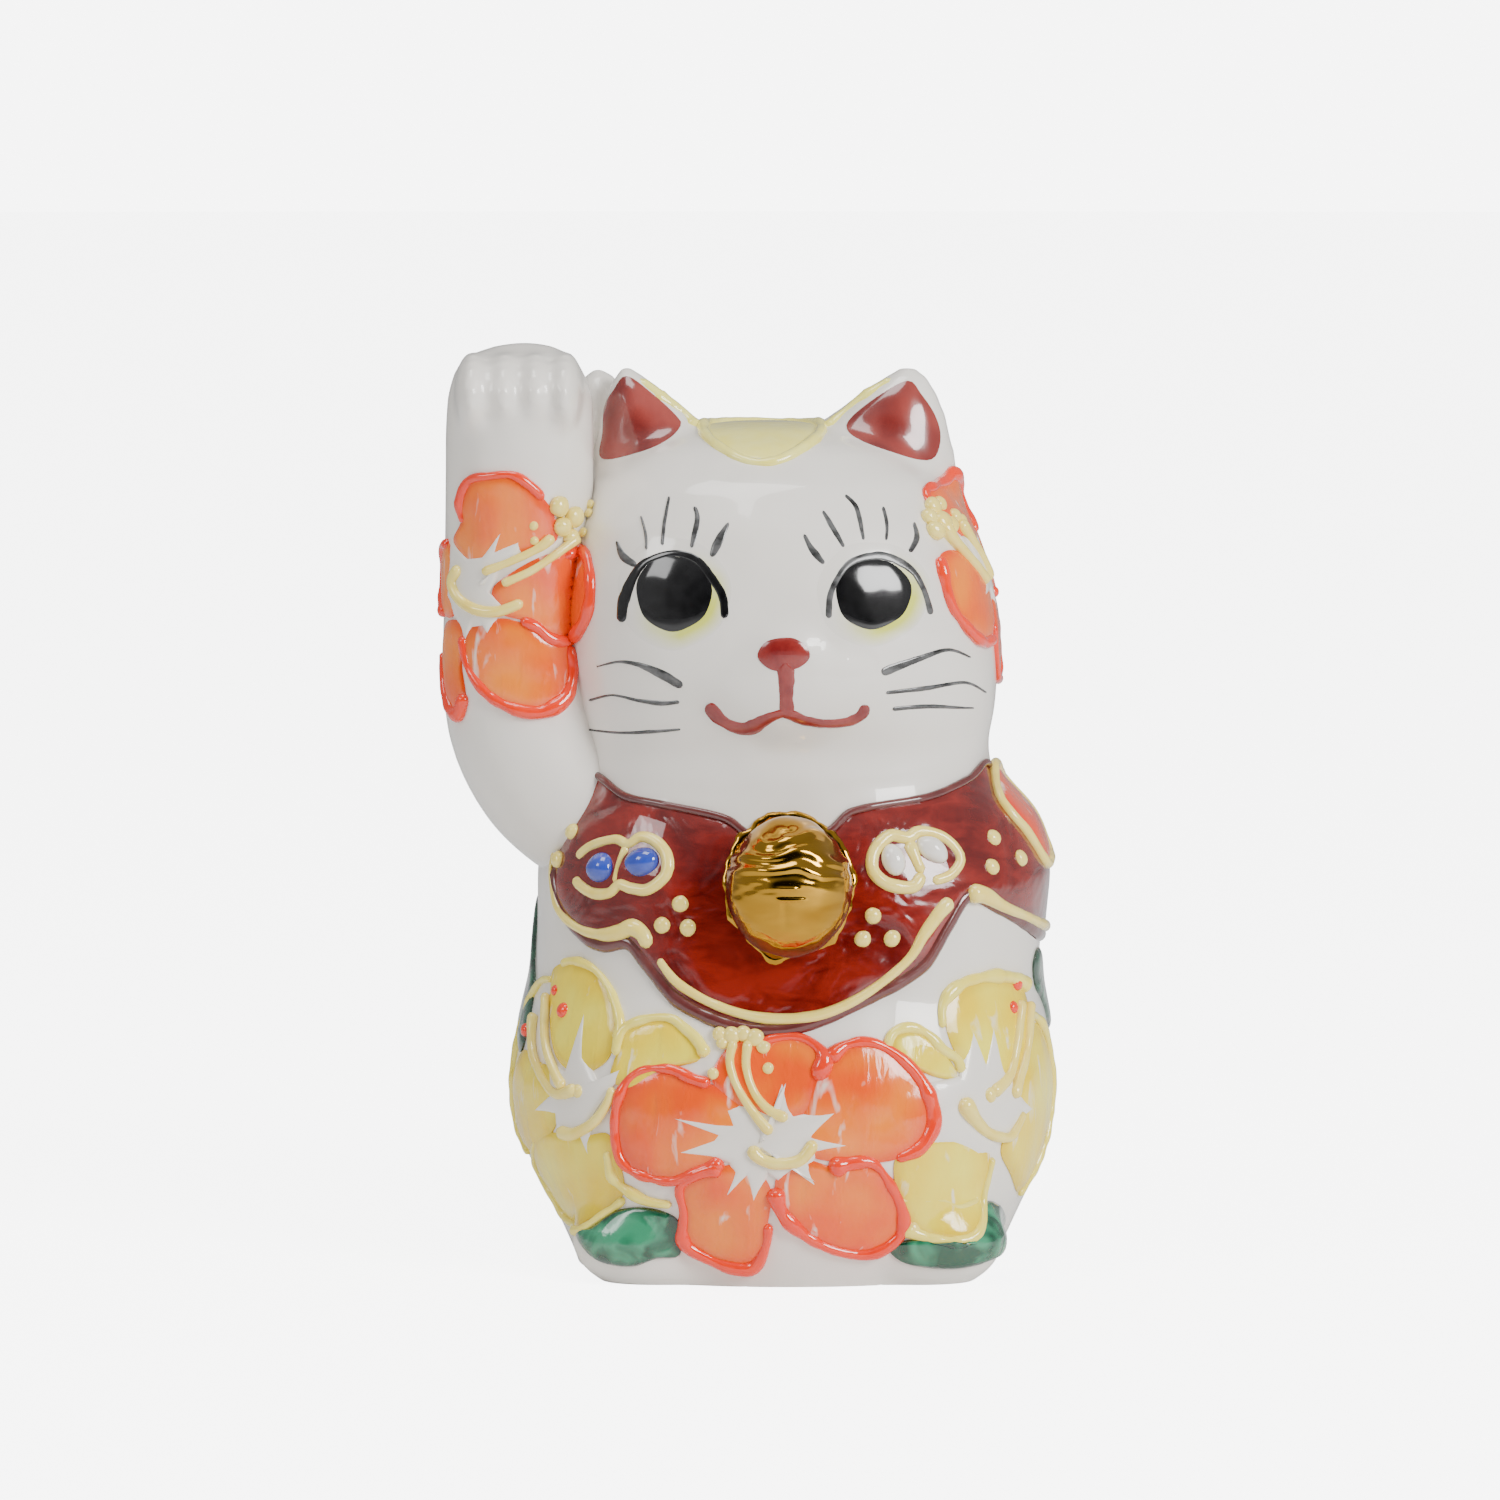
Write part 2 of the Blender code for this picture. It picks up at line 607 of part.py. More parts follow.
for name, (azimuth, height) in BEADS.items():
    centre = spot(on_bib + BEAD_RADIUS, azimuth, height)
    look = BLUE if name.startswith("blue") else WHITE_ENAMEL
    finish(ellipsoid(name, centre, [BEAD_RADIUS] * 3, cat, 12), look)

# ---- enamels -----------------------------------------------------------------------------------------
for label, outline in (("left", EAR_ENAMEL_L), ("right", EAR_ENAMEL_R)):
    outline = [row.xy for row in smooth_rows([(*p, 0) for p in outline + outline[:1]], 2)[:-1]]
    finish(pad("ear_enamel_" + label, 0, middle(outline), outline, ENAMEL, cat), ENAMEL_RED)


def crown_place(offset, i, j):
    turn = 2 * math.pi * i / 16
    (x, y), (rx, ry) = FOREHEAD
    scale = PAD_STEPS[j]
    return crown_spot(offset, x + rx * scale * math.cos(turn), y + ry * scale * math.sin(turn))


finish(sheet("forehead_patch", crown_place, 16, 3, ENAMEL, True, cat), CREAM)
flower("front", FRONT_FLOWER, ORANGE, cat)
flower("arm", ARM_FLOWER, ORANGE, cat)
flower("head", HEAD_FLOWER, ORANGE, cat)
flower("yellow_left", YELLOW_LEFT_FLOWER, YELLOW, cat)
flower("yellow_right", YELLOW_RIGHT_FLOWER, YELLOW, cat)
azimuth, centre, radius = SHOULDER_FLOWER
outline = []
for i in range(20):
    turn = 2 * math.pi * i / 20
    reach = radius * (0.86 + 0.14 * math.cos(5 * turn))
    outline.append(Vector(centre) + Vector((math.cos(turn), math.sin(turn))) * reach)
finish(pad("shoulder_flower", azimuth, centre, outline, ENAMEL, cat), PINK)
for name, (azimuth, centre, direction, length, width) in LEAVES.items():
    outline = leaf_outline(centre, direction, length, width)
    finish(pad(name, azimuth, centre, outline, ENAMEL, cat), GREEN)
on_petal = 2 * GAP + ENAMEL + TRAIL
for name, azimuth, path in (
    ("front_stamen", FRONT_FLOWER[0], FRONT_STAMEN),
    ("front_arc", FRONT_FLOWER[0], FRONT_ARC),
    ("arm_stamen", ARM_FLOWER[0], ARM_STAMEN),
    ("head_stamen", HEAD_FLOWER[0], HEAD_STAMEN),
):
    finish(trail(name, lifted(path, on_petal, azimuth), TRAIL, cat), CREAM)
for obj in cutters.objects:
    obj.hide_render = True
    obj.display_type = "WIRE"
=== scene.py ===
import math

import bpy
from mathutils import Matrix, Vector, noise


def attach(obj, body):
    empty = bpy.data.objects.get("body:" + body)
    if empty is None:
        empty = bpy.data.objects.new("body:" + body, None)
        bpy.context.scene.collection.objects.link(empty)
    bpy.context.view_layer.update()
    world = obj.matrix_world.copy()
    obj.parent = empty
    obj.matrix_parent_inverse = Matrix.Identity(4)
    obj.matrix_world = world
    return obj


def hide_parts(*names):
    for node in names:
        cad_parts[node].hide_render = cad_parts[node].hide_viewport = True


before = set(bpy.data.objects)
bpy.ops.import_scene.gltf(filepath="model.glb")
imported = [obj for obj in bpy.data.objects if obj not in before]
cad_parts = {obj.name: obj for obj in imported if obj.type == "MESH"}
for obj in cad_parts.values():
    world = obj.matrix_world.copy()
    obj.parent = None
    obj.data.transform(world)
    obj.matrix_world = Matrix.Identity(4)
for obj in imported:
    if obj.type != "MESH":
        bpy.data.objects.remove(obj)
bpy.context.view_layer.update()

# ---- Body casting ------------------------------------------------------------------------------------
# The cat's torso and head are one hollow porcelain slip casting, a little squarer than round in plan, with
# ears, muzzle, nose and feet that swell softly out of it. The base is ground flat and vented by one hole.
MM = 0.001
TORSO_LEVELS = [  # height, half width, front, back, sideways shift, in mm
    (-3.0, 22.0, 21.0, 22.0, 0.0),
    (1.0, 23.2, 22.6, 23.5, 0.0),
    (5.0, 25.0, 24.4, 25.5, 0.0),
    (9.0, 27.0, 25.6, 27.0, -0.1),
    (14.0, 29.0, 26.2, 28.2, -0.4),
    (20.0, 29.7, 25.8, 28.4, -0.5),
    (26.0, 28.7, 24.6, 27.4, -0.3),
    (31.0, 27.5, 23.2, 26.2, -0.1),
    (37.0, 27.5, 22.4, 25.4, 0.3),
    (43.0, 27.8, 21.6, 24.2, 0.6),
    (48.0, 26.3, 19.8, 22.4, 0.3),
    (52.5, 23.0, 18.2, 20.2, -0.6),
    (56.5, 22.6, 18.4, 19.6, -0.8),
    (60.0, 23.4, 20.2, 20.6, -0.8),
    (65.0, 23.9, 21.8, 21.6, -1.0),
    (70.0, 23.9, 22.4, 21.8, -1.2),
    (75.0, 23.2, 22.0, 21.2, -1.4),
    (80.0, 21.8, 20.4, 19.8, -1.8),
    (85.0, 19.0, 17.2, 17.2, -2.2),
    (88.6, 14.8, 12.6, 13.2, -2.5),
    (90.4, 9.6, 7.6, 8.2, -2.6),
    (91.0, 4.0, 3.0, 3.4, -2.6),
]
EAR_LEVELS = {  # height, half width, half depth either way, sideways shift
    "ear_left": [
        (82, 9.0, 7.0, 6.0, -11.6), (87, 8.8, 6.8, 4.4, -12.6), (91.2, 5.6, 5.8, 2.6, -14.8),
        (94.2, 3.4, 4.6, 1.4, -16.3), (96.4, 1.7, 3.3, 0.1, -17.2), (97.3, 0.6, 2.3, -0.9, -17.3),
    ],
    "ear_right": [
        (82, 10.6, 7.0, 6.0, 8.4), (87, 9.8, 6.6, 4.6, 8.6), (91.2, 6.9, 5.4, 3.0, 10.6),
        (94.2, 4.5, 4.2, 1.8, 12.0), (96.2, 2.4, 3.0, 0.6, 12.9), (97.2, 0.8, 1.9, -0.5, 13.0),
    ],
}
SWELLINGS = {  # centre and radii
    "muzzle": ((0.2, -14.6, 65.0), (13.5, 8.6, 8.5)),
    "nose_tip": ((0.0, -20.4, 67.8), (4.4, 3.2, 3.4)),
    "foot_left": ((-14.4, -17.0, 4.2), (8.8, 6.0, 5.6)),
    "foot_right": ((14.4, -17.0, 4.2), (8.8, 6.0, 5.6)),
}
VENT = ((0.0, 11.0), 4.5)
HOLLOW = ((-0.5, 0.5, 45.0), (19.0, 16.5, 41.0))


def tower(name, levels, sides, squareness):
    """A closed tower of oval rings, drawn up from level to level."""
    bpy.ops.object.select_all(action="DESELECT")
    bpy.ops.mesh.primitive_circle_add(vertices=sides, radius=1.0, fill_type="NGON")
    piece = bpy.context.object
    piece.name = name
    for vert in piece.data.vertices:
        x, y, _ = vert.co
        vert.co.x = math.copysign(abs(x) ** (2 / squareness), x)
        vert.co.y = math.copysign(abs(y) ** (2 / squareness), y)
    bpy.ops.object.mode_set(mode="EDIT")
    bpy.ops.mesh.select_all(action="SELECT")
    centre, half, depth = Vector((0, 0, 0)), 1.0, 1.0
    for i, (height, width, front, back, shift) in enumerate(levels):
        place = Vector((shift, (back - front) / 2, height)) * MM
        new_half, new_depth = width * MM, (front + back) / 2 * MM
        if i == 0:
            bpy.ops.transform.translate(value=place - centre)
        else:
            bpy.ops.mesh.extrude_region_move(TRANSFORM_OT_translate={"value": place - centre})
        bpy.ops.transform.resize(value=(new_half / half, new_depth / depth, 1), center_override=place)
        centre, half, depth = place, new_half, new_depth
    bpy.ops.mesh.select_all(action="SELECT")
    bpy.ops.mesh.normals_make_consistent(inside=False)
    bpy.ops.object.mode_set(mode="OBJECT")
    return piece


def swelling(name, centre, radii, segments=32):
    """A smooth ball of clay, longer or flatter as its radii say."""
    bpy.ops.object.select_all(action="DESELECT")
    bpy.ops.mesh.primitive_uv_sphere_add(segments=segments, ring_count=segments // 2, radius=MM,
                                         location=Vector(centre) * MM, scale=radii)
    piece = bpy.context.object
    piece.name = name
    bpy.ops.object.transform_apply(location=True, rotation=True, scale=True)
    return piece


def bake(piece):
    """Applies a piece's modifiers, in order."""
    bpy.ops.object.select_all(action="DESELECT")
    bpy.context.view_layer.objects.active = piece
    piece.select_set(True)
    for modifier in list(piece.modifiers):
        bpy.ops.object.modifier_apply(modifier=modifier.name)
    return piece


def fuse(name, lumps, voxel, rounds):
    """Melts lumps of clay into one skin, smoothed where they meet."""
    bpy.ops.object.select_all(action="DESELECT")
    for lump in lumps:
        lump.select_set(True)
    bpy.context.view_layer.objects.active = lumps[0]
    if len(lumps) > 1:
        bpy.ops.object.join()
    piece = bpy.context.object
    piece.name = name
    melt = piece.modifiers.new("melt", "REMESH")
    melt.mode = "VOXEL"
    melt.voxel_size = voxel * MM
    soften = piece.modifiers.new("soften", "SMOOTH")
    soften.iterations = rounds
    soften.factor = 0.5
    refine = piece.modifiers.new("refine", "SUBSURF")
    refine.levels = 1
    refine.render_levels = 1
    bake(piece)
    bpy.ops.object.shade_smooth()
    return piece


def take_away(piece, cutter):
    """Cuts one piece by another, which is then thrown away."""
    cut = piece.modifiers.new("cut", "BOOLEAN")
    cut.operation = "DIFFERENCE"
    cut.solver = "EXACT"
    cut.object = cutter
    bake(piece)
    bpy.data.objects.remove(cutter)


def wear(piece, material):
    """Gives a piece its one finish."""
    piece.data.materials.clear()
    piece.data.materials.append(material)


class Wire:
    """A node socket that shader sums can be written with."""

    def __init__(self, paint, socket):
        self.paint = paint
        self.socket = socket

    def sum(self, operation, first, second):
        return self.paint.node("ShaderNodeMath", {"operation": operation}, {0: first, 1: second})

    def __add__(self, other):
        return self.sum("ADD", self, other)

    def __sub__(self, other):
        return self.sum("SUBTRACT", self, other)

    def __rsub__(self, other):
        return self.sum("SUBTRACT", other, self)

    def __mul__(self, other):
        return self.sum("MULTIPLY", self, other)

    __radd__ = __add__
    __rmul__ = __mul__

    def held(self):
        """Kept between 0 and 1."""
        return self.paint.node("ShaderNodeClamp", {}, {"Value": self})


class Paint:
    """A fired finish in the making: one Principled shader and the nodes that vary it."""

    def __init__(self, name, roughness, metallic=0.0, coat=0.0):
        self.material = bpy.data.materials.new(name)
        self.material.use_nodes = True
        self.tree = self.material.node_tree
        self.shader = self.tree.nodes["Principled BSDF"]
        self.shader.inputs["Roughness"].default_value = roughness
        self.shader.inputs["Metallic"].default_value = metallic
        self.shader.inputs["Coat Weight"].default_value = coat
        self.shader.inputs["Coat Roughness"].default_value = 0.03

    def node(self, kind, settings, inputs, output=0):
        node = self.tree.nodes.new(kind)
        for key, value in settings.items():
            setattr(node, key, value)
        for key, value in inputs.items():
            if isinstance(value, Wire):
                self.tree.links.new(value.socket, node.inputs[key])
            else:
                node.inputs[key].default_value = value
        return Wire(self, node.outputs[output])

    def place(self):
        return self.node("ShaderNodeTexCoord", {}, {}, "Object")

    def rim_and_foot(self):
        """The piece's own UV: how far in from its rim, and how far out from its foot, each 0 to 1."""
        uv = self.node("ShaderNodeUVMap", {"uv_map": "UVMap"}, {})
        return [self.node("ShaderNodeSeparateXYZ", {}, {"Vector": uv}, side) for side in ("X", "Y")]

    def stretched(self, vector, scale):
        return self.node("ShaderNodeVectorMath", {"operation": "MULTIPLY"}, {0: vector, 1: scale})

    def cloud(self, vector, scale, detail=2.0, warp=0.0):
        """Soft noise from 0 to 1; the scale is in patches per metre on Object coordinates."""
        settings = {"Vector": vector, "Scale": scale, "Detail": detail, "Distortion": warp}
        return self.node("ShaderNodeTexNoise", {}, settings, "Fac")

    def mix(self, factor, first, second):
        return self.node("ShaderNodeMix", {"data_type": "RGBA"}, {0: factor, 6: first, 7: second}, 2)

    def colour(self, wire):
        self.tree.links.new(wire.socket, self.shader.inputs["Base Color"])

    def roughness(self, wire):
        self.tree.links.new(wire.socket, self.shader.inputs["Roughness"])

    def bump(self, height, distance, strength=1.0):
        """Relief; the distance is the height of a full step, in metres."""
        inputs = {"Height": height, "Distance": distance, "Strength": strength}
        bent = self.node("ShaderNodeBump", {}, inputs)
        self.tree.links.new(bent.socket, self.shader.inputs["Normal"])


def tint(red, green, blue):
    """A colour from a paint chart, 0 to 255, as the shader wants it."""
    shares = [part / 255 for part in (red, green, blue)]
    linear = [share / 12.92 if share < 0.0405 else ((share + 0.055) / 1.055) ** 2.4 for share in shares]
    return (*linear, 1.0)


def glaze_paint():
    """Clear glaze on warm white porcelain: faint grey mottling and the slow waves of a dipped surface."""
    paint = Paint("porcelain_glaze", 0.3, coat=0.8)
    place = paint.place()
    mottle = paint.cloud(place, 60, 3.0)
    paint.colour(paint.mix(mottle, tint(236, 230, 220), tint(246, 241, 233)))
    paint.roughness(0.25 + mottle * 0.15)
    paint.bump(paint.cloud(place, 70, 1.5), 0.0011)
    return paint.material


GLAZE = glaze_paint()
lumps = [tower("torso", TORSO_LEVELS, 56, 2.35)]
for label, levels in EAR_LEVELS.items():
    lumps.append(tower(label, [(z, w, f, b, s) for z, w, f, b, s in levels], 24, 2.0))
for label, (centre, radii) in SWELLINGS.items():
    lumps.append(swelling(label, centre, radii))
body = fuse("porcelain_body", lumps, 1.0, 8)
bpy.ops.object.mode_set(mode="EDIT")
bpy.ops.mesh.select_all(action="SELECT")
bpy.ops.mesh.bisect(plane_co=(0, 0, 0), plane_no=(0, 0, 1), use_fill=True, clear_inner=True)
bpy.ops.object.mode_set(mode="OBJECT")
take_away(body, swelling("hollow", *HOLLOW))
bpy.ops.object.select_all(action="DESELECT")
bpy.ops.mesh.primitive_cylinder_add(vertices=40, radius=VENT[1] * MM, depth=20 * MM,
                                    location=(VENT[0][0] * MM, VENT[0][1] * MM, 5 * MM))
bpy.context.object.name = "vent"
bpy.ops.object.transform_apply(location=True, rotation=True, scale=True)
take_away(body, bpy.context.object)
bpy.ops.object.shade_smooth_by_angle(angle=math.radians(40))
wear(body, GLAZE)
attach(body, "root")
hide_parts("body_casting")

# ---- Raised arm --------------------------------------------------------------------------------------
# A stout arm, cast apart and luted to the shoulder and the side of the head with slip. Its paw is a
# rounded block, bent forward a little, with shallow grooves between the toes and a soft hollow under them.
ARM_LEVELS = [  # centre, radius
    ((-14.0, -1.5, 43.5), 6.6),
    ((-18.6, -2.0, 47.0), 7.8),
    ((-22.6, -2.9, 50.4), 8.6),
    ((-25.6, -3.5, 54.2), 9.0),
    ((-27.8, -4.2, 59.5), 9.05),
    ((-28.6, -4.6, 66.0), 8.6),
    ((-28.8, -5.0, 73.0), 8.25),
    ((-28.8, -5.6, 80.0), 8.1),
    ((-28.8, -6.2, 86.0), 8.0),
    ((-28.7, -7.0, 91.0), 8.0),
    ((-28.6, -8.0, 95.0), 7.6),
    ((-28.4, -8.8, 97.6), 6.1),
    ((-28.4, -9.2, 98.9), 3.4),
]
TOE_X = (-33.6, -30.2, -26.9, -23.8)


def rope(name, stations, sides, ring=False):
    """A round rope of clay or enamel through centres with their own radii, capped or joined in a ring."""
    curve = bpy.data.curves.new(name, "CURVE")
    curve.dimensions = "3D"
    curve.bevel_depth = 1.0
    curve.bevel_resolution = sides
    curve.use_fill_caps = not ring
    spline = curve.splines.new("POLY")
    spline.use_cyclic_u = ring
    spline.points.add(len(stations) - 1)
    for point, (centre, radius) in zip(spline.points, stations):
        point.co = (*centre, 1)
        point.radius = radius
    piece = bpy.data.objects.new(name, curve)
    bpy.context.scene.collection.objects.link(piece)
    bpy.ops.object.select_all(action="DESELECT")
    bpy.context.view_layer.objects.active = piece
    piece.select_set(True)
    bpy.ops.object.convert(target="MESH")
    bpy.ops.object.mode_set(mode="EDIT")
    bpy.ops.mesh.select_all(action="SELECT")
    bpy.ops.mesh.remove_doubles(threshold=1e-6)
    bpy.ops.mesh.normals_make_consistent(inside=False)
    bpy.ops.object.mode_set(mode="OBJECT")
    bpy.ops.object.shade_smooth()
    return bpy.context.object


def flowing(points, step, closed=False):
    """Points of a smooth curve through a few given ones, about a step apart."""
    points = [Vector(p) for p in points]
    count = len(points)
    result = []
    for i in range(count if closed else count - 1):
        if closed:
            a, b, c, d = [points[(i + k) % count] for k in (-1, 0, 1, 2)]
        else:
            a, b, c, d = points[max(i - 1, 0)], points[i], points[i + 1], points[min(i + 2, count - 1)]
        parts = max(1, round((c - b).length / step))
        for k in range(parts):
            t = k / parts
            result.append(0.5 * (2 * b + (c - a) * t + (2 * a - 5 * b + 4 * c - d) * t * t
                                 + (3 * b - a - 3 * c + d) * t * t * t))
    if not closed:
        result.append(points[-1])
    return result


stations = flowing([(*centre, radius) for centre, radius in ARM_LEVELS], 1.0)
lumps = [rope("limb", [(Vector(s[:3]) * MM, s[3] * MM) for s in stations], 12)]
for x in TOE_X:
    lumps.append(swelling("toe", (x, -9.4, 94.4), (2.1, 7.1, 4.7)))
lumps.append(swelling("wrist_web", (-20.4, 2.4, 90.4), (3.4, 3.4, 6.4)))
lumps.append(swelling("palm", (-28.6, -9.6, 88.5), (6.4, 4.6, 7.5)))
arm = fuse("porcelain_raised_arm", lumps, 0.7, 6)
wear(arm, GLAZE)
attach(arm, "root")
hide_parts("raised_arm")

# ---- Tail --------------------------------------------------------------------------------------------
# A short curled roll of clay, luted to the back of the hip and glazed with the rest.
TAIL_LEVELS = [
    ((-5.0, 22.5, 8.0), 3.6),
    ((1.0, 26.0, 8.4), 4.3),
    ((7.0, 27.4, 11.0), 4.4),
    ((10.4, 26.8, 15.4), 4.1),
    ((11.6, 26.0, 19.6), 3.2),
    ((11.8, 25.4, 21.6), 1.8),
]
stations = flowing([(*centre, radius) for centre, radius in TAIL_LEVELS], 1.0)
roll = rope("tail_roll", [(Vector(s[:3]) * MM, s[3] * MM) for s in stations], 8)
tail = fuse("porcelain_tail", [roll], 0.8, 6)
wear(tail, GLAZE)
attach(tail, "root")
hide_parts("tail")

# ---- Ear enamels -------------------------------------------------------------------------------------
# The hollow of each ear is filled by brush with brick-red enamel, thicker and darker in scattered pools.
EAR_FILLS = {
    "left": [
        (-17.3, 96.1), (-18.7, 94.6), (-19.7, 92.8), (-19.9, 90.0), (-20.0, 87.3), (-16.3, 88.0),
        (-13.1, 89.3), (-11.5, 90.8), (-11.9, 91.8), (-14.4, 94.1),
    ],
    "right": [
        (13.0, 95.6), (14.4, 94.2), (15.9, 91.9), (16.5, 89.6), (15.9, 87.5), (14.3, 87.2),
        (11.0, 88.2), (7.8, 89.4), (6.4, 90.5), (7.0, 91.8), (10.0, 94.1),
    ],
}


def skin_at(azimuth, height, across=0.0, skins=(body, arm)):
    """The glazed skin's point and normal seen square on from an azimuth (degrees, 0 in front), at a height
    and a distance across in mm."""
    turn = math.radians(azimuth)
    outward = Vector((math.sin(turn), -math.cos(turn), 0))
    sideways = Vector((math.cos(turn), math.sin(turn), 0))
    start = (outward * 60 + sideways * across + Vector((0, 0, height))) * MM
    best = None
    for skin in skins:
        hit, spot, normal, _ = skin.ray_cast(start, -outward)
        if hit and (best is None or (spot - start).length < best[0]):
            best = ((spot - start).length, spot, normal)
    return best[1:]


def on_skin(azimuth, height, across=0.0, lift=0.0, skins=(body, arm)):
    """The same point, lifted off the glaze by a few tenths of a mm."""
    spot, normal = skin_at(azimuth, height, across, skins)
    return spot + normal * lift * MM


def film(name, outline, azimuth, lift, foot=None, rows=12):
    """A film of enamel fanned from its middle out to its outline, rounded off and sunk at the rim. Its
    own UV holds how far a place is from the rim, and how far from the foot towards the tip."""
    columns = len(outline)
    bpy.ops.object.select_all(action="DESELECT")
    bpy.ops.mesh.primitive_grid_add(x_subdivisions=columns, y_subdivisions=rows + 1, size=2.0,
                                    calc_uvs=True)
    piece = bpy.context.object
    piece.name = name
    middle = sum(outline, Vector((0, 0))) / columns
    foot = Vector(foot) if foot else outline[0].lerp(outline[-1], 0.5)
    reach = max((point - foot).length for point in outline)
    marks = []
    for vert in piece.data.vertices:
        column = round((vert.co.x + 1) / 2 * columns) % columns
        row = round((vert.co.y + 1) / 2 * (rows + 1))
        out = min(row / rows, 1.0)
        point = middle.lerp(outline[column], out)
        marks.append((1 - out, (point - foot).length / reach))
        height = -0.15 if row > rows else lift * (1 - 0.6 * out**10)
        vert.co = on_skin(azimuth, point.y, point.x, height)
    layer = piece.data.uv_layers.active
    for loop in piece.data.loops:
        layer.data[loop.index].uv = marks[loop.vertex_index]
    close_film(piece)
    return piece


def close_film(piece):
    """Merges a film's seam and foot, turns it to face outward and gives it its wall."""
    bpy.ops.object.mode_set(mode="EDIT")
    bpy.ops.mesh.select_all(action="SELECT")
    bpy.ops.mesh.remove_doubles(threshold=1e-6)
    bpy.ops.mesh.normals_make_consistent(inside=False)
    bpy.ops.object.mode_set(mode="OBJECT")
    lean = sum(face.normal.dot(Vector((face.center.x, face.center.y, 0))) for face in piece.data.polygons)
    if lean < 0:
        piece.data.flip_normals()
    wall = piece.modifiers.new("wall", "SOLIDIFY")
    wall.thickness = 0.3 * MM
    wall.offset = -1
    bake(piece)
    bpy.ops.object.shade_smooth_by_angle(angle=math.radians(60))


def fired(piece, material, slot_name, *nodes):
    """A finished enamel: its paint, its place on the cat and the CAD nodes it stands for."""
    wear(piece, material)
    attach(piece, "root")
    if nodes:
        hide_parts(*nodes)


def ear_paint():
    """Brick-red enamel, brushed downwards, darker in scattered pools where it lies thick."""
    paint = Paint("ear_enamel", 0.2, coat=0.8)
    brushed = paint.cloud(paint.stretched(paint.place(), (500, 500, 90)), 1, 2.0)
    pooled = paint.node("ShaderNodeMapRange", {}, {"Value": paint.cloud(paint.place(), 180, 1.0),
                                                   "From Min": 0.42, "From Max": 0.62})
    base = paint.mix(brushed, tint(140, 50, 44), tint(166, 74, 66))
    paint.colour(paint.mix(pooled * 0.7, base, tint(96, 20, 20)))
    paint.bump(brushed, 0.00004)
    return paint.material


EAR_RED = ear_paint()
for label, corners in EAR_FILLS.items():
    outline = flowing(corners, 0.5, closed=True)
    fired(film("ear_fill_" + label, outline, 0, 0.14), EAR_RED, "ear_red", "ear_enamel_" + label)

# ---- Crown patch -------------------------------------------------------------------------------------
# A pale-yellow half moon of enamel over the top of the head, with a piped rim, and a brushed band that
# runs from it up the inner ridge of each ear.
CROWN = ((-2.7, -4.4), (6.4, 9.8))
EAR_BANDS = {
    "left": [(-9.6, 90.7), (-11.0, 92.2), (-12.9, 93.6), (-14.6, 94.9), (-15.9, 95.9)],
    "right": [(4.1, 90.7), (5.9, 92.2), (7.6, 93.6), (9.5, 94.9), (11.2, 95.9)],
}


def on_crown(x, y):
    """The glazed skin's point and normal straight below a place over the head."""
    return body.ray_cast(Vector((x, y, 120)) * MM, Vector((0, 0, -1)))[1:3]


def enamel_paint(name, thin, thick, roughness=0.18):
    """Glassy enamel in one colour, uneven in depth, for piped lines, dots and plain films."""
    paint = Paint(name, roughness, coat=0.7)
    depth = paint.cloud(paint.place(), 420, 2.0)
    paint.colour(paint.mix(depth, thin, thick))
    paint.bump(paint.cloud(paint.place(), 900, 1.0), 0.00003)
    return paint.material


def piped(name, places, width, height, widths=(1, 1), wobble=0.1, closed=False):
    """A raised line squeezed or brushed along places on the skin: a rope sunk until only a dome of the
    given width and height stands proud. The widths are shares of the width, spread along the line."""
    lengths = [0.0]
    for (before, _), (after, _) in zip(places, places[1:]):
        lengths.append(lengths[-1] + (after - before).length / MM)
    total = lengths[-1]
    stations = []
    for (spot, normal), length in zip(places, lengths):
        share = length / total * (len(widths) - 1)
        i = min(int(share), len(widths) - 2)
        size = widths[i] + (widths[i + 1] - widths[i]) * (share - i)
        size *= 1 + wobble * noise.noise(spot / MM * 0.6)
        if not closed:
            gap = min(1.0, min(length, total - length) / (0.5 * width * size) + 0.04)
            size *= math.sqrt(1 - (1 - gap) ** 2)
        half, rise = 0.5 * width * size, height * size
        radius = (half * half + rise * rise) / (2 * rise)
        stations.append((spot + normal * (rise - radius) * MM, radius * MM))
    return rope(name, stations, 5, closed)


def front_places(path, azimuth=0.0, step=0.3, lift=0.0, closed=False):
    """Places on the skin along a path of distances across and heights, seen from one azimuth."""
    places = []
    for point in flowing(path, step, closed):
        spot, normal = skin_at(azimuth, point.y, point.x)
        places.append((spot + normal * lift * MM, normal))
    return places


CREAM_THIN, CREAM_THICK = tint(255, 240, 140), tint(252, 218, 86)
CREAM = enamel_paint("cream_piping", CREAM_THIN, CREAM_THICK)
YELLOW_WASH = enamel_paint("crown_wash", tint(255, 250, 160), tint(252, 238, 92))
bpy.ops.object.select_all(action="DESELECT")
bpy.ops.mesh.primitive_grid_add(x_subdivisions=48, y_subdivisions=14, size=2.0, calc_uvs=True)
crown = bpy.context.object
crown.name = "crown_patch"
rim = []
for vert in crown.data.vertices:
    u, v = (vert.co.x + 1) / 2, (vert.co.y + 1) / 2
    turn = 2 * math.pi * round(u * 48) / 48
    x = CROWN[0][0] + CROWN[1][0] * v * math.cos(turn)
    y = CROWN[0][1] + CROWN[1][1] * v * math.sin(turn)
    spot, normal = on_crown(x, y)
    vert.co = spot + normal * (0.2 * (1 - v**8) - 0.12 * v**8) * MM
close_film(crown)
fired(crown, YELLOW_WASH, "cream_enamel", "forehead_patch")
edge = []
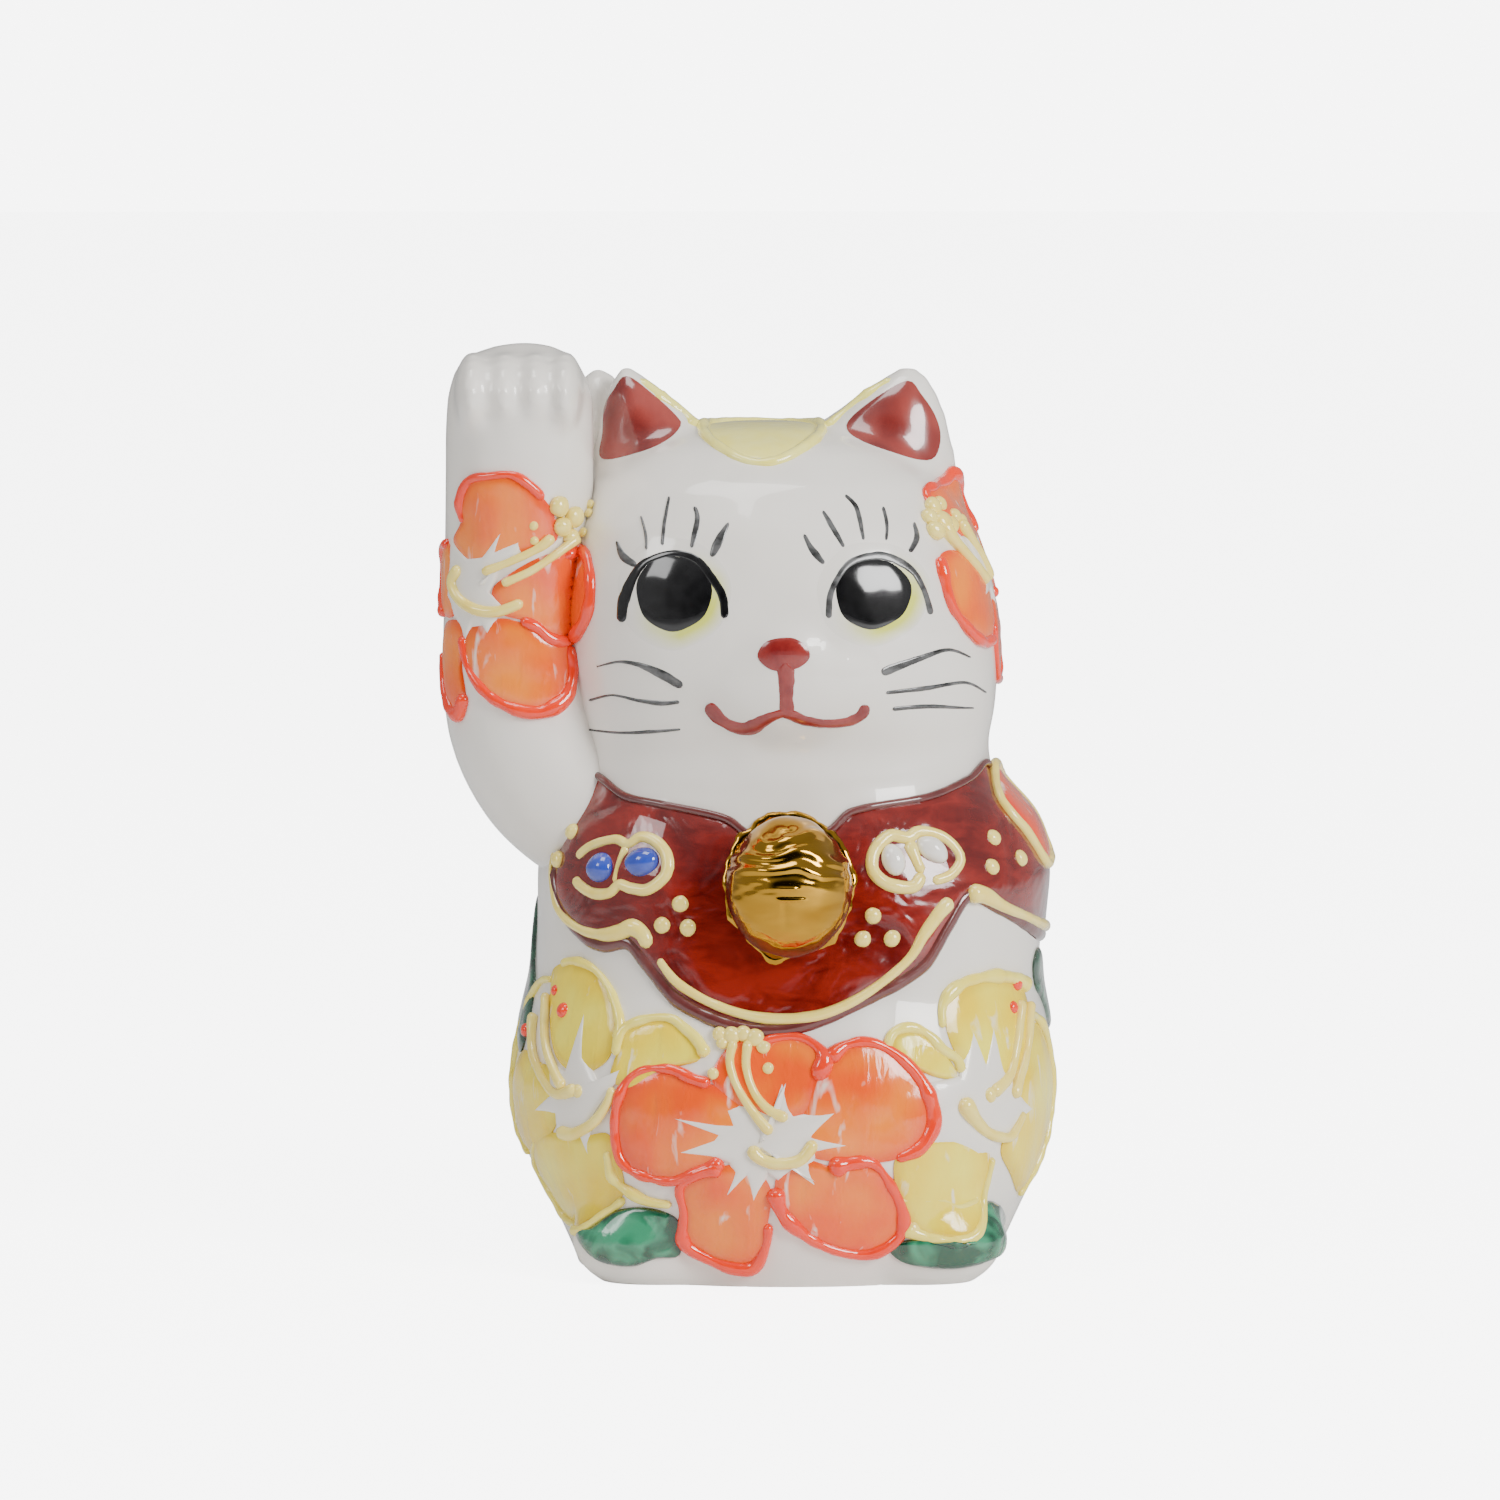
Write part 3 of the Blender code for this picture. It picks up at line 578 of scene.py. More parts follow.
for i in range(64):
    turn = 2 * math.pi * (i + 0.5) / 64
    x = CROWN[0][0] + CROWN[1][0] * math.cos(turn)
    y = CROWN[0][1] + CROWN[1][1] * math.sin(turn)
    edge.append(on_crown(x, y))
fired(piped("crown_rim", edge, 1.3, 0.55, closed=True, wobble=0.3), YELLOW_WASH, "cream_enamel")
for label, path in EAR_BANDS.items():
    band = piped("ear_band_" + label, front_places(path), 1.5, 0.4, (1.3, 0.7, 1.1, 0.6), wobble=0.4)
    fired(band, YELLOW_WASH, "cream_enamel")

# ---- Painted face ------------------------------------------------------------------------------------
# Eyes, lashes and whiskers are brushed in black, the nose and mouth in brick red; each stroke swells and
# thins as the brush was pressed, and dries to a skin that can just be felt.
PUPILS = {"left": ((-12.1, 73.8), (4.0, 3.95)), "right": ((9.0, 73.75), (4.0, 3.65))}
LIDS = {
    "left": [
        (-17.7, 70.6), (-17.3, 73.2), (-15.9, 76.2), (-14.3, 77.4), (-11.9, 78.0), (-9.6, 77.3),
        (-8.0, 75.4), (-6.9, 73.5), (-6.7, 71.3),
    ],
    "right": [
        (4.3, 71.3), (4.4, 73.5), (5.2, 75.4), (6.7, 77.1), (9.2, 77.7), (11.2, 77.3), (13.2, 76.0),
        (14.4, 74.0), (15.2, 71.4),
    ],
}
LID_WIDTHS = {
    "left": (1.4, 1.75, 1.4, 1.0, 0.9, 1.1, 1.2, 1.25, 1.1),
    "right": (1.0, 0.9, 0.9, 1.1, 1.25, 1.2, 0.9, 0.8, 0.9),
}
LASHES = {  # path, then widths from tip to root
    "left": [
        ([(-18.2, 79.0), (-17.5, 77.5), (-16.1, 76.6)], (0.25, 0.8, 0.7)),
        ([(-15.6, 81.7), (-15.1, 79.9), (-15.0, 78.3)], (0.2, 0.3, 0.3)),
        ([(-12.6, 83.8), (-13.1, 81.1), (-13.3, 78.8)], (0.25, 0.35, 0.4)),
        ([(-9.9, 82.8), (-9.6, 81.5), (-10.2, 78.6)], (0.35, 0.5, 0.6, 0.35)),
        ([(-6.3, 81.2), (-7.2, 79.6), (-8.1, 77.7)], (0.25, 0.7, 0.9, 0.5)),
    ],
    "right": [
        ([(1.7, 80.0), (2.5, 78.5), (3.8, 77.0)], (0.3, 0.5, 0.7, 0.4)),
        ([(3.7, 82.4), (4.9, 80.4), (5.9, 78.7)], (0.3, 0.5, 0.5, 0.3)),
        ([(6.1, 84.0), (7.3, 82.6), (8.0, 79.4)], (0.3, 0.45, 0.45, 0.3)),
        ([(10.1, 82.7), (10.5, 81.0), (10.4, 79.3)], (0.35, 0.35, 0.25)),
        ([(13.4, 81.0), (13.7, 79.4), (12.9, 78.0)], (0.3, 0.6, 0.5)),
    ],
}
WHISKERS = {
    "left": [
        (
            [(-20.3, 65.6), (-17.9, 66.3), (-15.5, 66.0), (-13.1, 65.0), (-11.2, 63.9)],
            (0.15, 0.3, 0.6, 1.1, 0.9),
        ),
        (
            [(-21.2, 61.8), (-18.7, 62.6), (-15.9, 62.2), (-13.5, 62.0), (-11.5, 62.2)],
            (0.3, 0.25, 0.35, 0.6, 0.4),
        ),
        ([(-21.3, 58.5), (-17.9, 58.5), (-14.7, 58.8), (-11.4, 59.2)], (0.2, 0.3, 0.45, 0.25)),
    ],
    "right": [
        ([(9.9, 65.4), (13.5, 66.6), (17.0, 67.5), (19.5, 66.5)], (1.1, 0.8, 0.45, 0.2)),
        ([(10.4, 63.2), (14.6, 63.5), (18.9, 63.8), (21.3, 62.4)], (0.4, 0.55, 0.4, 0.2)),
        ([(11.1, 61.4), (15.1, 61.5), (19.9, 60.9)], (0.5, 0.5, 0.2)),
    ],
}
NOSE = [
    (-3.2, 67.6), (-2.2, 68.9), (-0.2, 69.3), (1.1, 69.0), (2.2, 67.9), (2.1, 66.9), (0.8, 66.0),
    (-1.4, 65.8), (-2.8, 66.6),
]
MOUTH = {
    "lip_line": ([(-0.3, 66.6), (-0.2, 64.5), (-0.2, 63.0), (-0.1, 60.9)], (1.9, 1.6, 1.35, 1.5)),
    "mouth_left": (
        [
            (0.4, 61.4), (-1.0, 61.1), (-2.5, 60.4), (-4.1, 59.5), (-5.7, 59.6), (-7.0, 60.3),
            (-7.9, 61.2), (-8.4, 62.1),
        ],
        (0.9, 0.9, 1.2, 1.6, 1.3, 1.1, 1.4, 1.4),
    ),
    "mouth_right": (
        [(-0.8, 61.3), (0.4, 61.0), (1.8, 60.4), (4.1, 60.0), (6.5, 60.2), (7.9, 61.0), (8.1, 62.0)],
        (1.0, 1.1, 1.0, 0.9, 1.0, 1.1, 1.25),
    ),
}


def brushed_paint(name, thin, thick, roughness, scale=(700, 700, 700)):
    """A brushed colour with streaks where the hairs of the brush left it thin."""
    paint = Paint(name, roughness, coat=0.5)
    streak = paint.cloud(paint.stretched(paint.place(), scale), 1, 3.0)
    share = paint.node("ShaderNodeMapRange", {}, {"Value": streak, "From Min": 0.3, "From Max": 0.6})
    paint.colour(paint.mix(share, thick, thin))
    return paint.material


def eye_tint_paint():
    """A wash of yellow green that pools low in the eye and fades out into the glaze."""
    paint = Paint("eye_wash", 0.14, coat=0.6)
    inward, outward = paint.rim_and_foot()
    patch = paint.cloud(paint.place(), 300, 2.0)
    share = ((0.75 - outward) * 2.0 * (0.3 + patch * 1.4)).held() * (inward * 4.0).held()
    paint.colour(paint.mix(share, tint(236, 231, 222), tint(218, 222, 96)))
    return paint.material


def stroke(name, path, width, rise, widths=(1, 1)):
    """A brush stroke on the face: a thin domed ribbon that swells and thins as the brush was pressed."""
    line = flowing([Vector(point) for point in path], 0.2)
    lengths = [0.0]
    for before, after in zip(line, line[1:]):
        lengths.append(lengths[-1] + (after - before).length)
    bpy.ops.object.select_all(action="DESELECT")
    bpy.ops.mesh.primitive_grid_add(x_subdivisions=len(line) - 1, y_subdivisions=6, size=2.0,
                                    calc_uvs=True)
    piece = bpy.context.object
    piece.name = name
    for vert in piece.data.vertices:
        i = round((vert.co.x + 1) / 2 * (len(line) - 1))
        across = vert.co.y
        ahead = line[min(i + 1, len(line) - 1)] - line[max(i - 1, 0)]
        side = Vector((-ahead.y, ahead.x)).normalized()
        share = lengths[i] / lengths[-1] * (len(widths) - 1)
        k = min(int(share), len(widths) - 2)
        half = 0.5 * width * (widths[k] + (widths[k + 1] - widths[k]) * (share - k))
        end = min(1.0, min(lengths[i], lengths[-1] - lengths[i]) / half + 0.05)
        half *= math.sqrt(1 - (1 - end) ** 2) * (1 + 0.12 * noise.noise(Vector((*line[i], across)) * 1.3))
        point = line[i] + side * across * half
        vert.co = on_skin(0, point.y, point.x, rise * (1 - across**4) - 0.03)
    close_film(piece)
    return piece


BLACK = brushed_paint("eye_black", tint(26, 26, 27), tint(12, 12, 13), 0.12)
HAIR_BLACK = brushed_paint("brush_black", tint(92, 92, 92), tint(14, 14, 14), 0.25, (500, 500, 900))
FACE_RED = brushed_paint("face_red", tint(150, 52, 46), tint(120, 28, 28), 0.2, (400, 400, 400))
EYE_WASH = eye_tint_paint()
for label, (middle, radii) in PUPILS.items():
    for name, material, grow, lift in (("eye_wash_", EYE_WASH, 1.5, 0.03), ("pupil_", BLACK, 1.0, 0.1)):
        outline = []
        for i in range(56):
            turn = 2 * math.pi * i / 56
            reach = grow * (1 + 0.02 * math.sin(3 * turn + 1) + 0.012 * math.sin(7 * turn))
            point = Vector((radii[0] * math.cos(turn), radii[1] * math.sin(turn)))
            outline.append(Vector(middle) + point * reach)
        corner = (middle[0] + 3.6, middle[1] - 3.2)
        fired(film(name + label, outline, 0, lift, foot=corner), material, "porcelain_glaze")
    lid = stroke("eyelid_" + label, LIDS[label], 0.85, 0.14, LID_WIDTHS[label])
    fired(lid, HAIR_BLACK if label == "right" else BLACK, "porcelain_glaze")
    for i, (path, widths) in enumerate(LASHES[label]):
        lash = stroke(f"lash_{label}_{i + 1}", path, 1.2, 0.14, widths)
        fired(lash, HAIR_BLACK, "porcelain_glaze")
    for i, (path, widths) in enumerate(WHISKERS[label]):
        whisker = stroke(f"whisker_{label}_{i + 1}", path, 1.05, 0.14, widths)
        fired(whisker, HAIR_BLACK, "porcelain_glaze")
outline = flowing(NOSE, 0.4, closed=True)
fired(film("nose", outline, 0, 0.14), FACE_RED, "ear_red")
for name, (path, widths) in MOUTH.items():
    fired(stroke(name, path, 1.15, 0.2, widths), FACE_RED, "ear_red")

# ---- Bib ---------------------------------------------------------------------------------------------
# A thick film of dark-red enamel round the neck, cusped below, with a swollen edge where the enamel drew
# up as it melted. That edge's mauve-brown is partly its own colour and partly painted shade from its
# downward-facing side.
BIB_TOP = [
    (-71, 48.0), (-68.5, 51.6), (-65.5, 53.2), (-62.5, 53.8), (-51, 51.9), (-40.5, 51.3), (-25, 50.4),
    (-18, 49.7), (-12, 48.4), (12, 48.6), (20, 50.6), (45, 51.9), (62, 53.4), (77, 54.6), (84, 50.5),
    (90, 46.5), (96, 43.0),
]
BIB_BOTTOM = [
    (-71, 43.5), (-68.5, 40.6), (-64, 38.4), (-56, 36.3), (-49.4, 35.5), (-42.5, 36.0), (-38, 34.4),
    (-34, 32.6), (-28, 30.2), (-17, 28.1), (-7, 27.3), (4, 27.8), (18, 30.1), (35, 33.7), (42, 37.8),
    (48, 40.9), (58, 39.2), (77, 35.8), (96, 34.5),
]
BIB_COLUMNS = 150
BIB_ROWS = 26


def height_at(edge, azimuth):
    """Height of an edge at an azimuth, smoothed between its points."""
    for k in range(len(edge) - 1):
        (a, low), (b, high) = edge[k], edge[k + 1]
        if a <= azimuth <= b:
            before = edge[max(k - 1, 0)]
            after = edge[min(k + 2, len(edge) - 1)]
            slope_in = (high - before[1]) / (b - before[0])
            slope_out = (after[1] - low) / (after[0] - a)
            t = (azimuth - a) / (b - a)
            span = b - a
            return ((2 * t**3 - 3 * t**2 + 1) * low + (t**3 - 2 * t**2 + t) * span * slope_in
                    + (3 * t**2 - 2 * t**3) * high + (t**3 - t**2) * span * slope_out)
    return edge[-1][1]


def bib_paint():
    """Deep red enamel: nearly black where it lies thick, brighter where it ran thin over the folds."""
    paint = Paint("bib_enamel", 0.14, coat=1.0)
    place = paint.place()
    depth = paint.cloud(place, 120, 3.0, 0.6)
    streak = paint.cloud(paint.stretched(place, (260, 260, 700)), 1, 2.0, 1.0)
    share = paint.node("ShaderNodeMapRange", {}, {"Value": depth * 0.65 + streak * 0.35, "From Min": 0.38,
                                                  "From Max": 0.62})
    paint.colour(paint.mix(share, tint(92, 12, 10), tint(140, 34, 26)))
    paint.roughness(0.08 + streak * 0.12)
    paint.bump(depth, 0.0009)
    return paint.material


first, last = BIB_TOP[0][0], BIB_TOP[-1][0]
bpy.ops.object.select_all(action="DESELECT")
bpy.ops.mesh.primitive_grid_add(x_subdivisions=BIB_COLUMNS, y_subdivisions=BIB_ROWS, size=2.0,
                                calc_uvs=True)
bib = bpy.context.object
bib.name = "bib_film"
for vert in bib.data.vertices:
    u, v = (vert.co.x + 1) / 2, (vert.co.y + 1) / 2
    azimuth = first + (last - first) * u
    low, high = height_at(BIB_BOTTOM, azimuth), height_at(BIB_TOP, azimuth)
    edge = max(abs(2 * u - 1) ** 24, abs(2 * v - 1) ** 10)
    vert.co = on_skin(azimuth, low + (high - low) * v, 0, 0.5 * (1 - edge) - 0.1 * edge, (body,))
close_film(bib)
fired(bib, bib_paint(), "bib_red", "bib")
# Painted shade: the lip's mauve-brown tints hold the darker look of the bib's shaded, downward-facing
# edge.
BIB_LIP_AND_SHADE = enamel_paint("bib_lip_and_shade", tint(116, 62, 58), tint(78, 26, 28))


def round_places(path, step=0.6, lift=0.0, closed=False):
    """Places on the torso along a path of azimuths and heights."""
    places = []
    for point in flowing(path, step, closed):
        spot, normal = skin_at(point.x, point.y, 0, (body,))
        places.append((spot + normal * lift * MM, normal))
    return places


for label, edge_line, inset, width in (("lower", BIB_BOTTOM, 0.5, 1.7), ("upper", BIB_TOP, -0.2, 0.8)):
    path = [(a, height_at(edge_line, a) + inset) for a in range(-71, 97)]
    fired(piped("bib_lip_and_shade_" + label, round_places(path, 1.2), width, 0.6), BIB_LIP_AND_SHADE, "bib_red")
for label, path in {"left": [(-71, 43.8), (-71.3, 45.8), (-71, 48.0)],
                    "right": [(96, 34.5), (96.6, 39.0), (96, 43.0)]}.items():
    fired(piped("bib_lip_and_shade_" + label, round_places(path), 1.0, 0.55), BIB_LIP_AND_SHADE, "bib_red")

# ---- Bib trimmings -----------------------------------------------------------------------------------
# Cream enamel piped from a nozzle inside the bib's edge, three-dot sprays, and a pair of drops in a
# butterfly surround on each side: cobalt blue on one, white on the other.
PIPING = {
    "piping_left": (
        [
            (-65, 51.0), (-67, 49.4), (-69, 47.3), (-71, 44.2), (-68, 40.8), (-63.6, 38.7), (-56, 37.4),
            (-49.4, 37.1), (-44.5, 37.5), (-41, 38.1), (-37.8, 37.3), (-36.6, 36.0),
        ],
        (0.7, 0.7, 0.35, 0.3, 0.4, 0.75, 0.8, 0.8, 0.9, 1.5, 1.6, 1.3),
    ),
    "piping_centre": (
        [
            (-33.5, 34.9), (-28, 32.4), (-18, 30.2), (-7, 29.0), (4, 29.0), (12, 29.8), (21, 31.7),
            (31, 34.9), (35.5, 37.6), (40, 39.9), (43, 41.0),
        ],
        (0.7, 0.9, 0.8, 0.9, 1, 1, 0.9, 0.8, 0.85, 1.2, 1.4),
    ),
    "piping_right": (
        [(47.5, 41.6), (52, 41.3), (58, 39.9), (66, 38.6), (77, 37.2), (93, 36.0)],
        (1.9, 1.1, 0.85, 0.95, 1.1, 1),
    ),
}
DOTS = [
    (-64.7, 47.5), (-67.9, 44.4), (-28.9, 40.8), (-33.2, 38.5), (-26.6, 38.3), (22.7, 39.6),
    (19.7, 37.2), (27.2, 37.2), (58.8, 47.0), (55.3, 44.1), (65.9, 44.6),
]
SURROUNDS = {
    "left": [
        (-60, 44.9), (-56.4, 46.2), (-49.6, 47.1), (-45.4, 46.7), (-42.3, 47.5), (-38, 47.1),
        (-34.2, 45.7), (-33.4, 43.8), (-37.5, 42.2), (-42.2, 42.2), (-45.5, 42.5), (-48, 41.6),
        (-52.7, 41.4), (-57.6, 42.2), (-59, 42.9),
    ],
    "right": [
        (36.2, 43.9), (34, 42.7), (31, 42.5), (26.4, 43.0), (23.6, 44.2), (24, 45.7), (26.3, 46.9),
        (30, 47.8), (34.4, 47.5), (37.9, 48.1), (43, 47.7), (46.3, 46.5), (47, 45.0), (43.5, 43.6),
        (38.5, 43.0),
    ],
}
SURROUND_WIDTHS = {
    "left": (0.9, 0.95, 0.9, 1.2, 1.25, 1.15, 1.0, 1.1, 1.1),
    "right": (1.2, 1.4, 1.2, 1.3, 1.2, 1, 1, 1),
}
BARS = {
    "left": ([(-45.4, 46.5), (-46.3, 45.6), (-46.9, 44.2), (-46.9, 42.6)], (1.1, 0.7, 0.5, 0.6)),
    "right": ([(34.4, 47.3), (35, 46.0), (35.6, 44.8), (36.2, 43.8)], (1.6, 1.5, 1.2, 1.2)),
}
DROPS = {  # azimuth, height, half width, half height, tilt
    "blue_bead_outer": (-51.9, 44.1, 1.7, 1.6, 10),
    "blue_bead_inner": (-40.4, 44.9, 1.95, 1.55, 15),
    "white_bead_inner": (29.4, 45.3, 1.3, 1.8, 18),
    "white_bead_outer": (40.2, 46.2, 1.95, 1.3, -38),
}


def drop(name, azimuth, height, lift, radii, segments=24, tilt=0.0):
    """A domed drop of enamel: a ball flattened against the skin, with a slightly uneven rim."""
    bpy.ops.object.select_all(action="DESELECT")
    bpy.ops.mesh.primitive_uv_sphere_add(segments=segments, ring_count=segments // 2, radius=1)
    piece = bpy.context.object
    piece.name = name
    place, outward = skin_at(azimuth, height, 0, (body,))
    across = Vector((0, 0, 1)).cross(outward).normalized()
    upward = outward.cross(across)
    lean = math.radians(tilt)
    wide = across * math.cos(lean) + upward * math.sin(lean)
    tall = upward * math.cos(lean) - across * math.sin(lean)
    for vert in piece.data.vertices:
        uneven = 1 + 0.1 * noise.noise(Vector((azimuth, height, 0)) + vert.co * 0.9)
        x, y, z = vert.co * uneven * MM
        vert.co = place + wide * x * radii[0] + tall * z * radii[2] + outward * (lift * MM - y * radii[1])
    bpy.ops.object.mode_set(mode="EDIT")
    bpy.ops.mesh.select_all(action="SELECT")
    bpy.ops.mesh.normals_make_consistent(inside=False)
    bpy.ops.object.mode_set(mode="OBJECT")
    bpy.ops.object.shade_smooth()
    return piece


ON_BIB = 0.4
BLUE = enamel_paint("blue_drop", tint(66, 92, 206), tint(24, 40, 140), 0.1)
WHITE = enamel_paint("white_drop", tint(246, 243, 238), tint(232, 226, 214), 0.1)
for name, (path, widths) in PIPING.items():
    line = piped(name + "_line", round_places(path, lift=ON_BIB), 1.25, 0.6, widths=widths)
    fired(line, CREAM, "cream_enamel", name)
for i, (azimuth, height) in enumerate(DOTS):
    dot = drop(f"cream_dot_{i + 1:02d}", azimuth, height, ON_BIB, (0.95, 0.7, 0.92), 16)
    fired(dot, CREAM, "cream_enamel", f"bib_dot_{i + 1:02d}")
for label, path in SURROUNDS.items():
    places = round_places(path, lift=ON_BIB)
    loop = piped("bead_surround_" + label, places, 1.15, 0.55, SURROUND_WIDTHS[label])
    fired(loop, CREAM, "cream_enamel", "butterfly_" + label)
    path, widths = BARS[label]
    bar = piped("bead_bar_" + label, round_places(path, lift=ON_BIB), 1.0, 0.5, widths)
    fired(bar, CREAM, "cream_enamel")
for name, (azimuth, height, wide, tall, tilt) in DROPS.items():
    bead = drop(name + "_drop", azimuth, height, ON_BIB, (wide, 1.3, tall), tilt=tilt)
    fired(bead, BLUE if name.startswith("blue") else WHITE, name.split("_")[0] + "_enamel", name)

# ---- Bell --------------------------------------------------------------------------------------------
# A moulded ball in front of the bib, rippled above and smooth below, with two fine ridges across its
# waist and a slot down from them. It is brushed all over with bright gold lustre that runs out raggedly
# onto the bib.
BELL_CENTRE = Vector((0.1, -23.0, 42.9))
BELL_RADII = Vector((6.7, 6.9, 7.5))
BELL_TAPER = 0.12
RIDGES = [(0.5, -0.15, 1.1), (-0.7, 0.2, 1.6)]  # height over the bell's centre, middle and half length
RIDGE_RISE, RIDGE_WIDTH = 0.2, 0.16
RIPPLE_RISE, RIPPLE_STEP, RIPPLES_FROM = 0.13, 1.9, 0.9
SLOT_X, SLOT_WIDTH, SLOT_DEPTH, SLOT_SPAN = -0.45, 0.3, 0.4, (-4.0, -0.9)
GOLD_EDGE, GOLD_EDGE_POINTS = (6.55, 7.3), 110


def gold_paint():
    """Gold lustre: a mirror film, a little browner where it was brushed thin."""
    paint = Paint("gold_lustre", 0.1, metallic=1.0)
    place = paint.place()
    worn = paint.cloud(paint.stretched(place, (120, 120, 400)), 1, 2.0, 0.5)
    paint.colour(paint.mix(worn, tint(150, 104, 24), tint(214, 166, 64)))
    paint.roughness(0.05 + worn * 0.12)
    paint.bump(paint.cloud(paint.stretched(place, (150, 150, 300)), 1, 2.0, 0.3), 0.0004)
    return paint.material


GOLD = gold_paint()
bpy.ops.object.select_all(action="DESELECT")
bpy.ops.mesh.primitive_uv_sphere_add(segments=144, ring_count=144, radius=1.0)
bell = bpy.context.object
bell.name = "gold_bell"
for vert in bell.data.vertices:
    direction = vert.co.copy()
    local = Vector([d * r for d, r in zip(direction, BELL_RADII)])
    local.x *= 1 - BELL_TAPER * max(0.0, direction.z) ** 2
    rise = 0.14 * noise.noise(direction * 2.2)
    phase = local.z + 0.05 * local.x**2 + 1.6 * noise.noise(direction * 1.7 + Vector((3, 0, 0)))
    ripple = max(0.0, min(1.0, (local.z - RIPPLES_FROM) / 1.2)) * max(0.0, 1 - abs(direction.z) ** 6)
    rise += RIPPLE_RISE * ripple * math.sin(phase * 2 * math.pi / RIPPLE_STEP)
    for height, middle, half in RIDGES:
        reach = max(0.0, 1 - ((local.x - middle) / half) ** 4)
        if local.y < 0:
            rise += RIDGE_RISE * reach * math.exp(-((local.z - height) / RIDGE_WIDTH) ** 2)
    if local.y < 0 and SLOT_SPAN[0] < local.z < SLOT_SPAN[1]:
        dip = math.exp(-((local.x - SLOT_X) / SLOT_WIDTH) ** 2)
        rise -= SLOT_DEPTH * dip * min(1.0, (local.z - SLOT_SPAN[0]) / 1.2)
    vert.co = (BELL_CENTRE + local + direction * rise) * MM
bpy.ops.object.shade_smooth()
fired(bell, GOLD, "gold_lustre", "bell")
ragged = []
for i in range(GOLD_EDGE_POINTS):
    turn = 2 * math.pi * i / GOLD_EDGE_POINTS
    side = Vector((math.cos(turn), math.sin(turn), 0))
    reach = 1.0 + 0.09 * noise.noise(side * 2.1) + 0.05 * noise.noise(side * 7)
    x = BELL_CENTRE.x + GOLD_EDGE[0] * reach * side.x
    z = BELL_CENTRE.z - 0.1 + GOLD_EDGE[1] * reach * side.y
    spot, normal = skin_at(0, z, x)
    ragged.append((spot + normal * 0.4 * MM, normal))
fired(piped("bell_gold_edge", ragged, 1.0, 0.25, closed=True, wobble=0.7), GOLD, "gold_lustre")

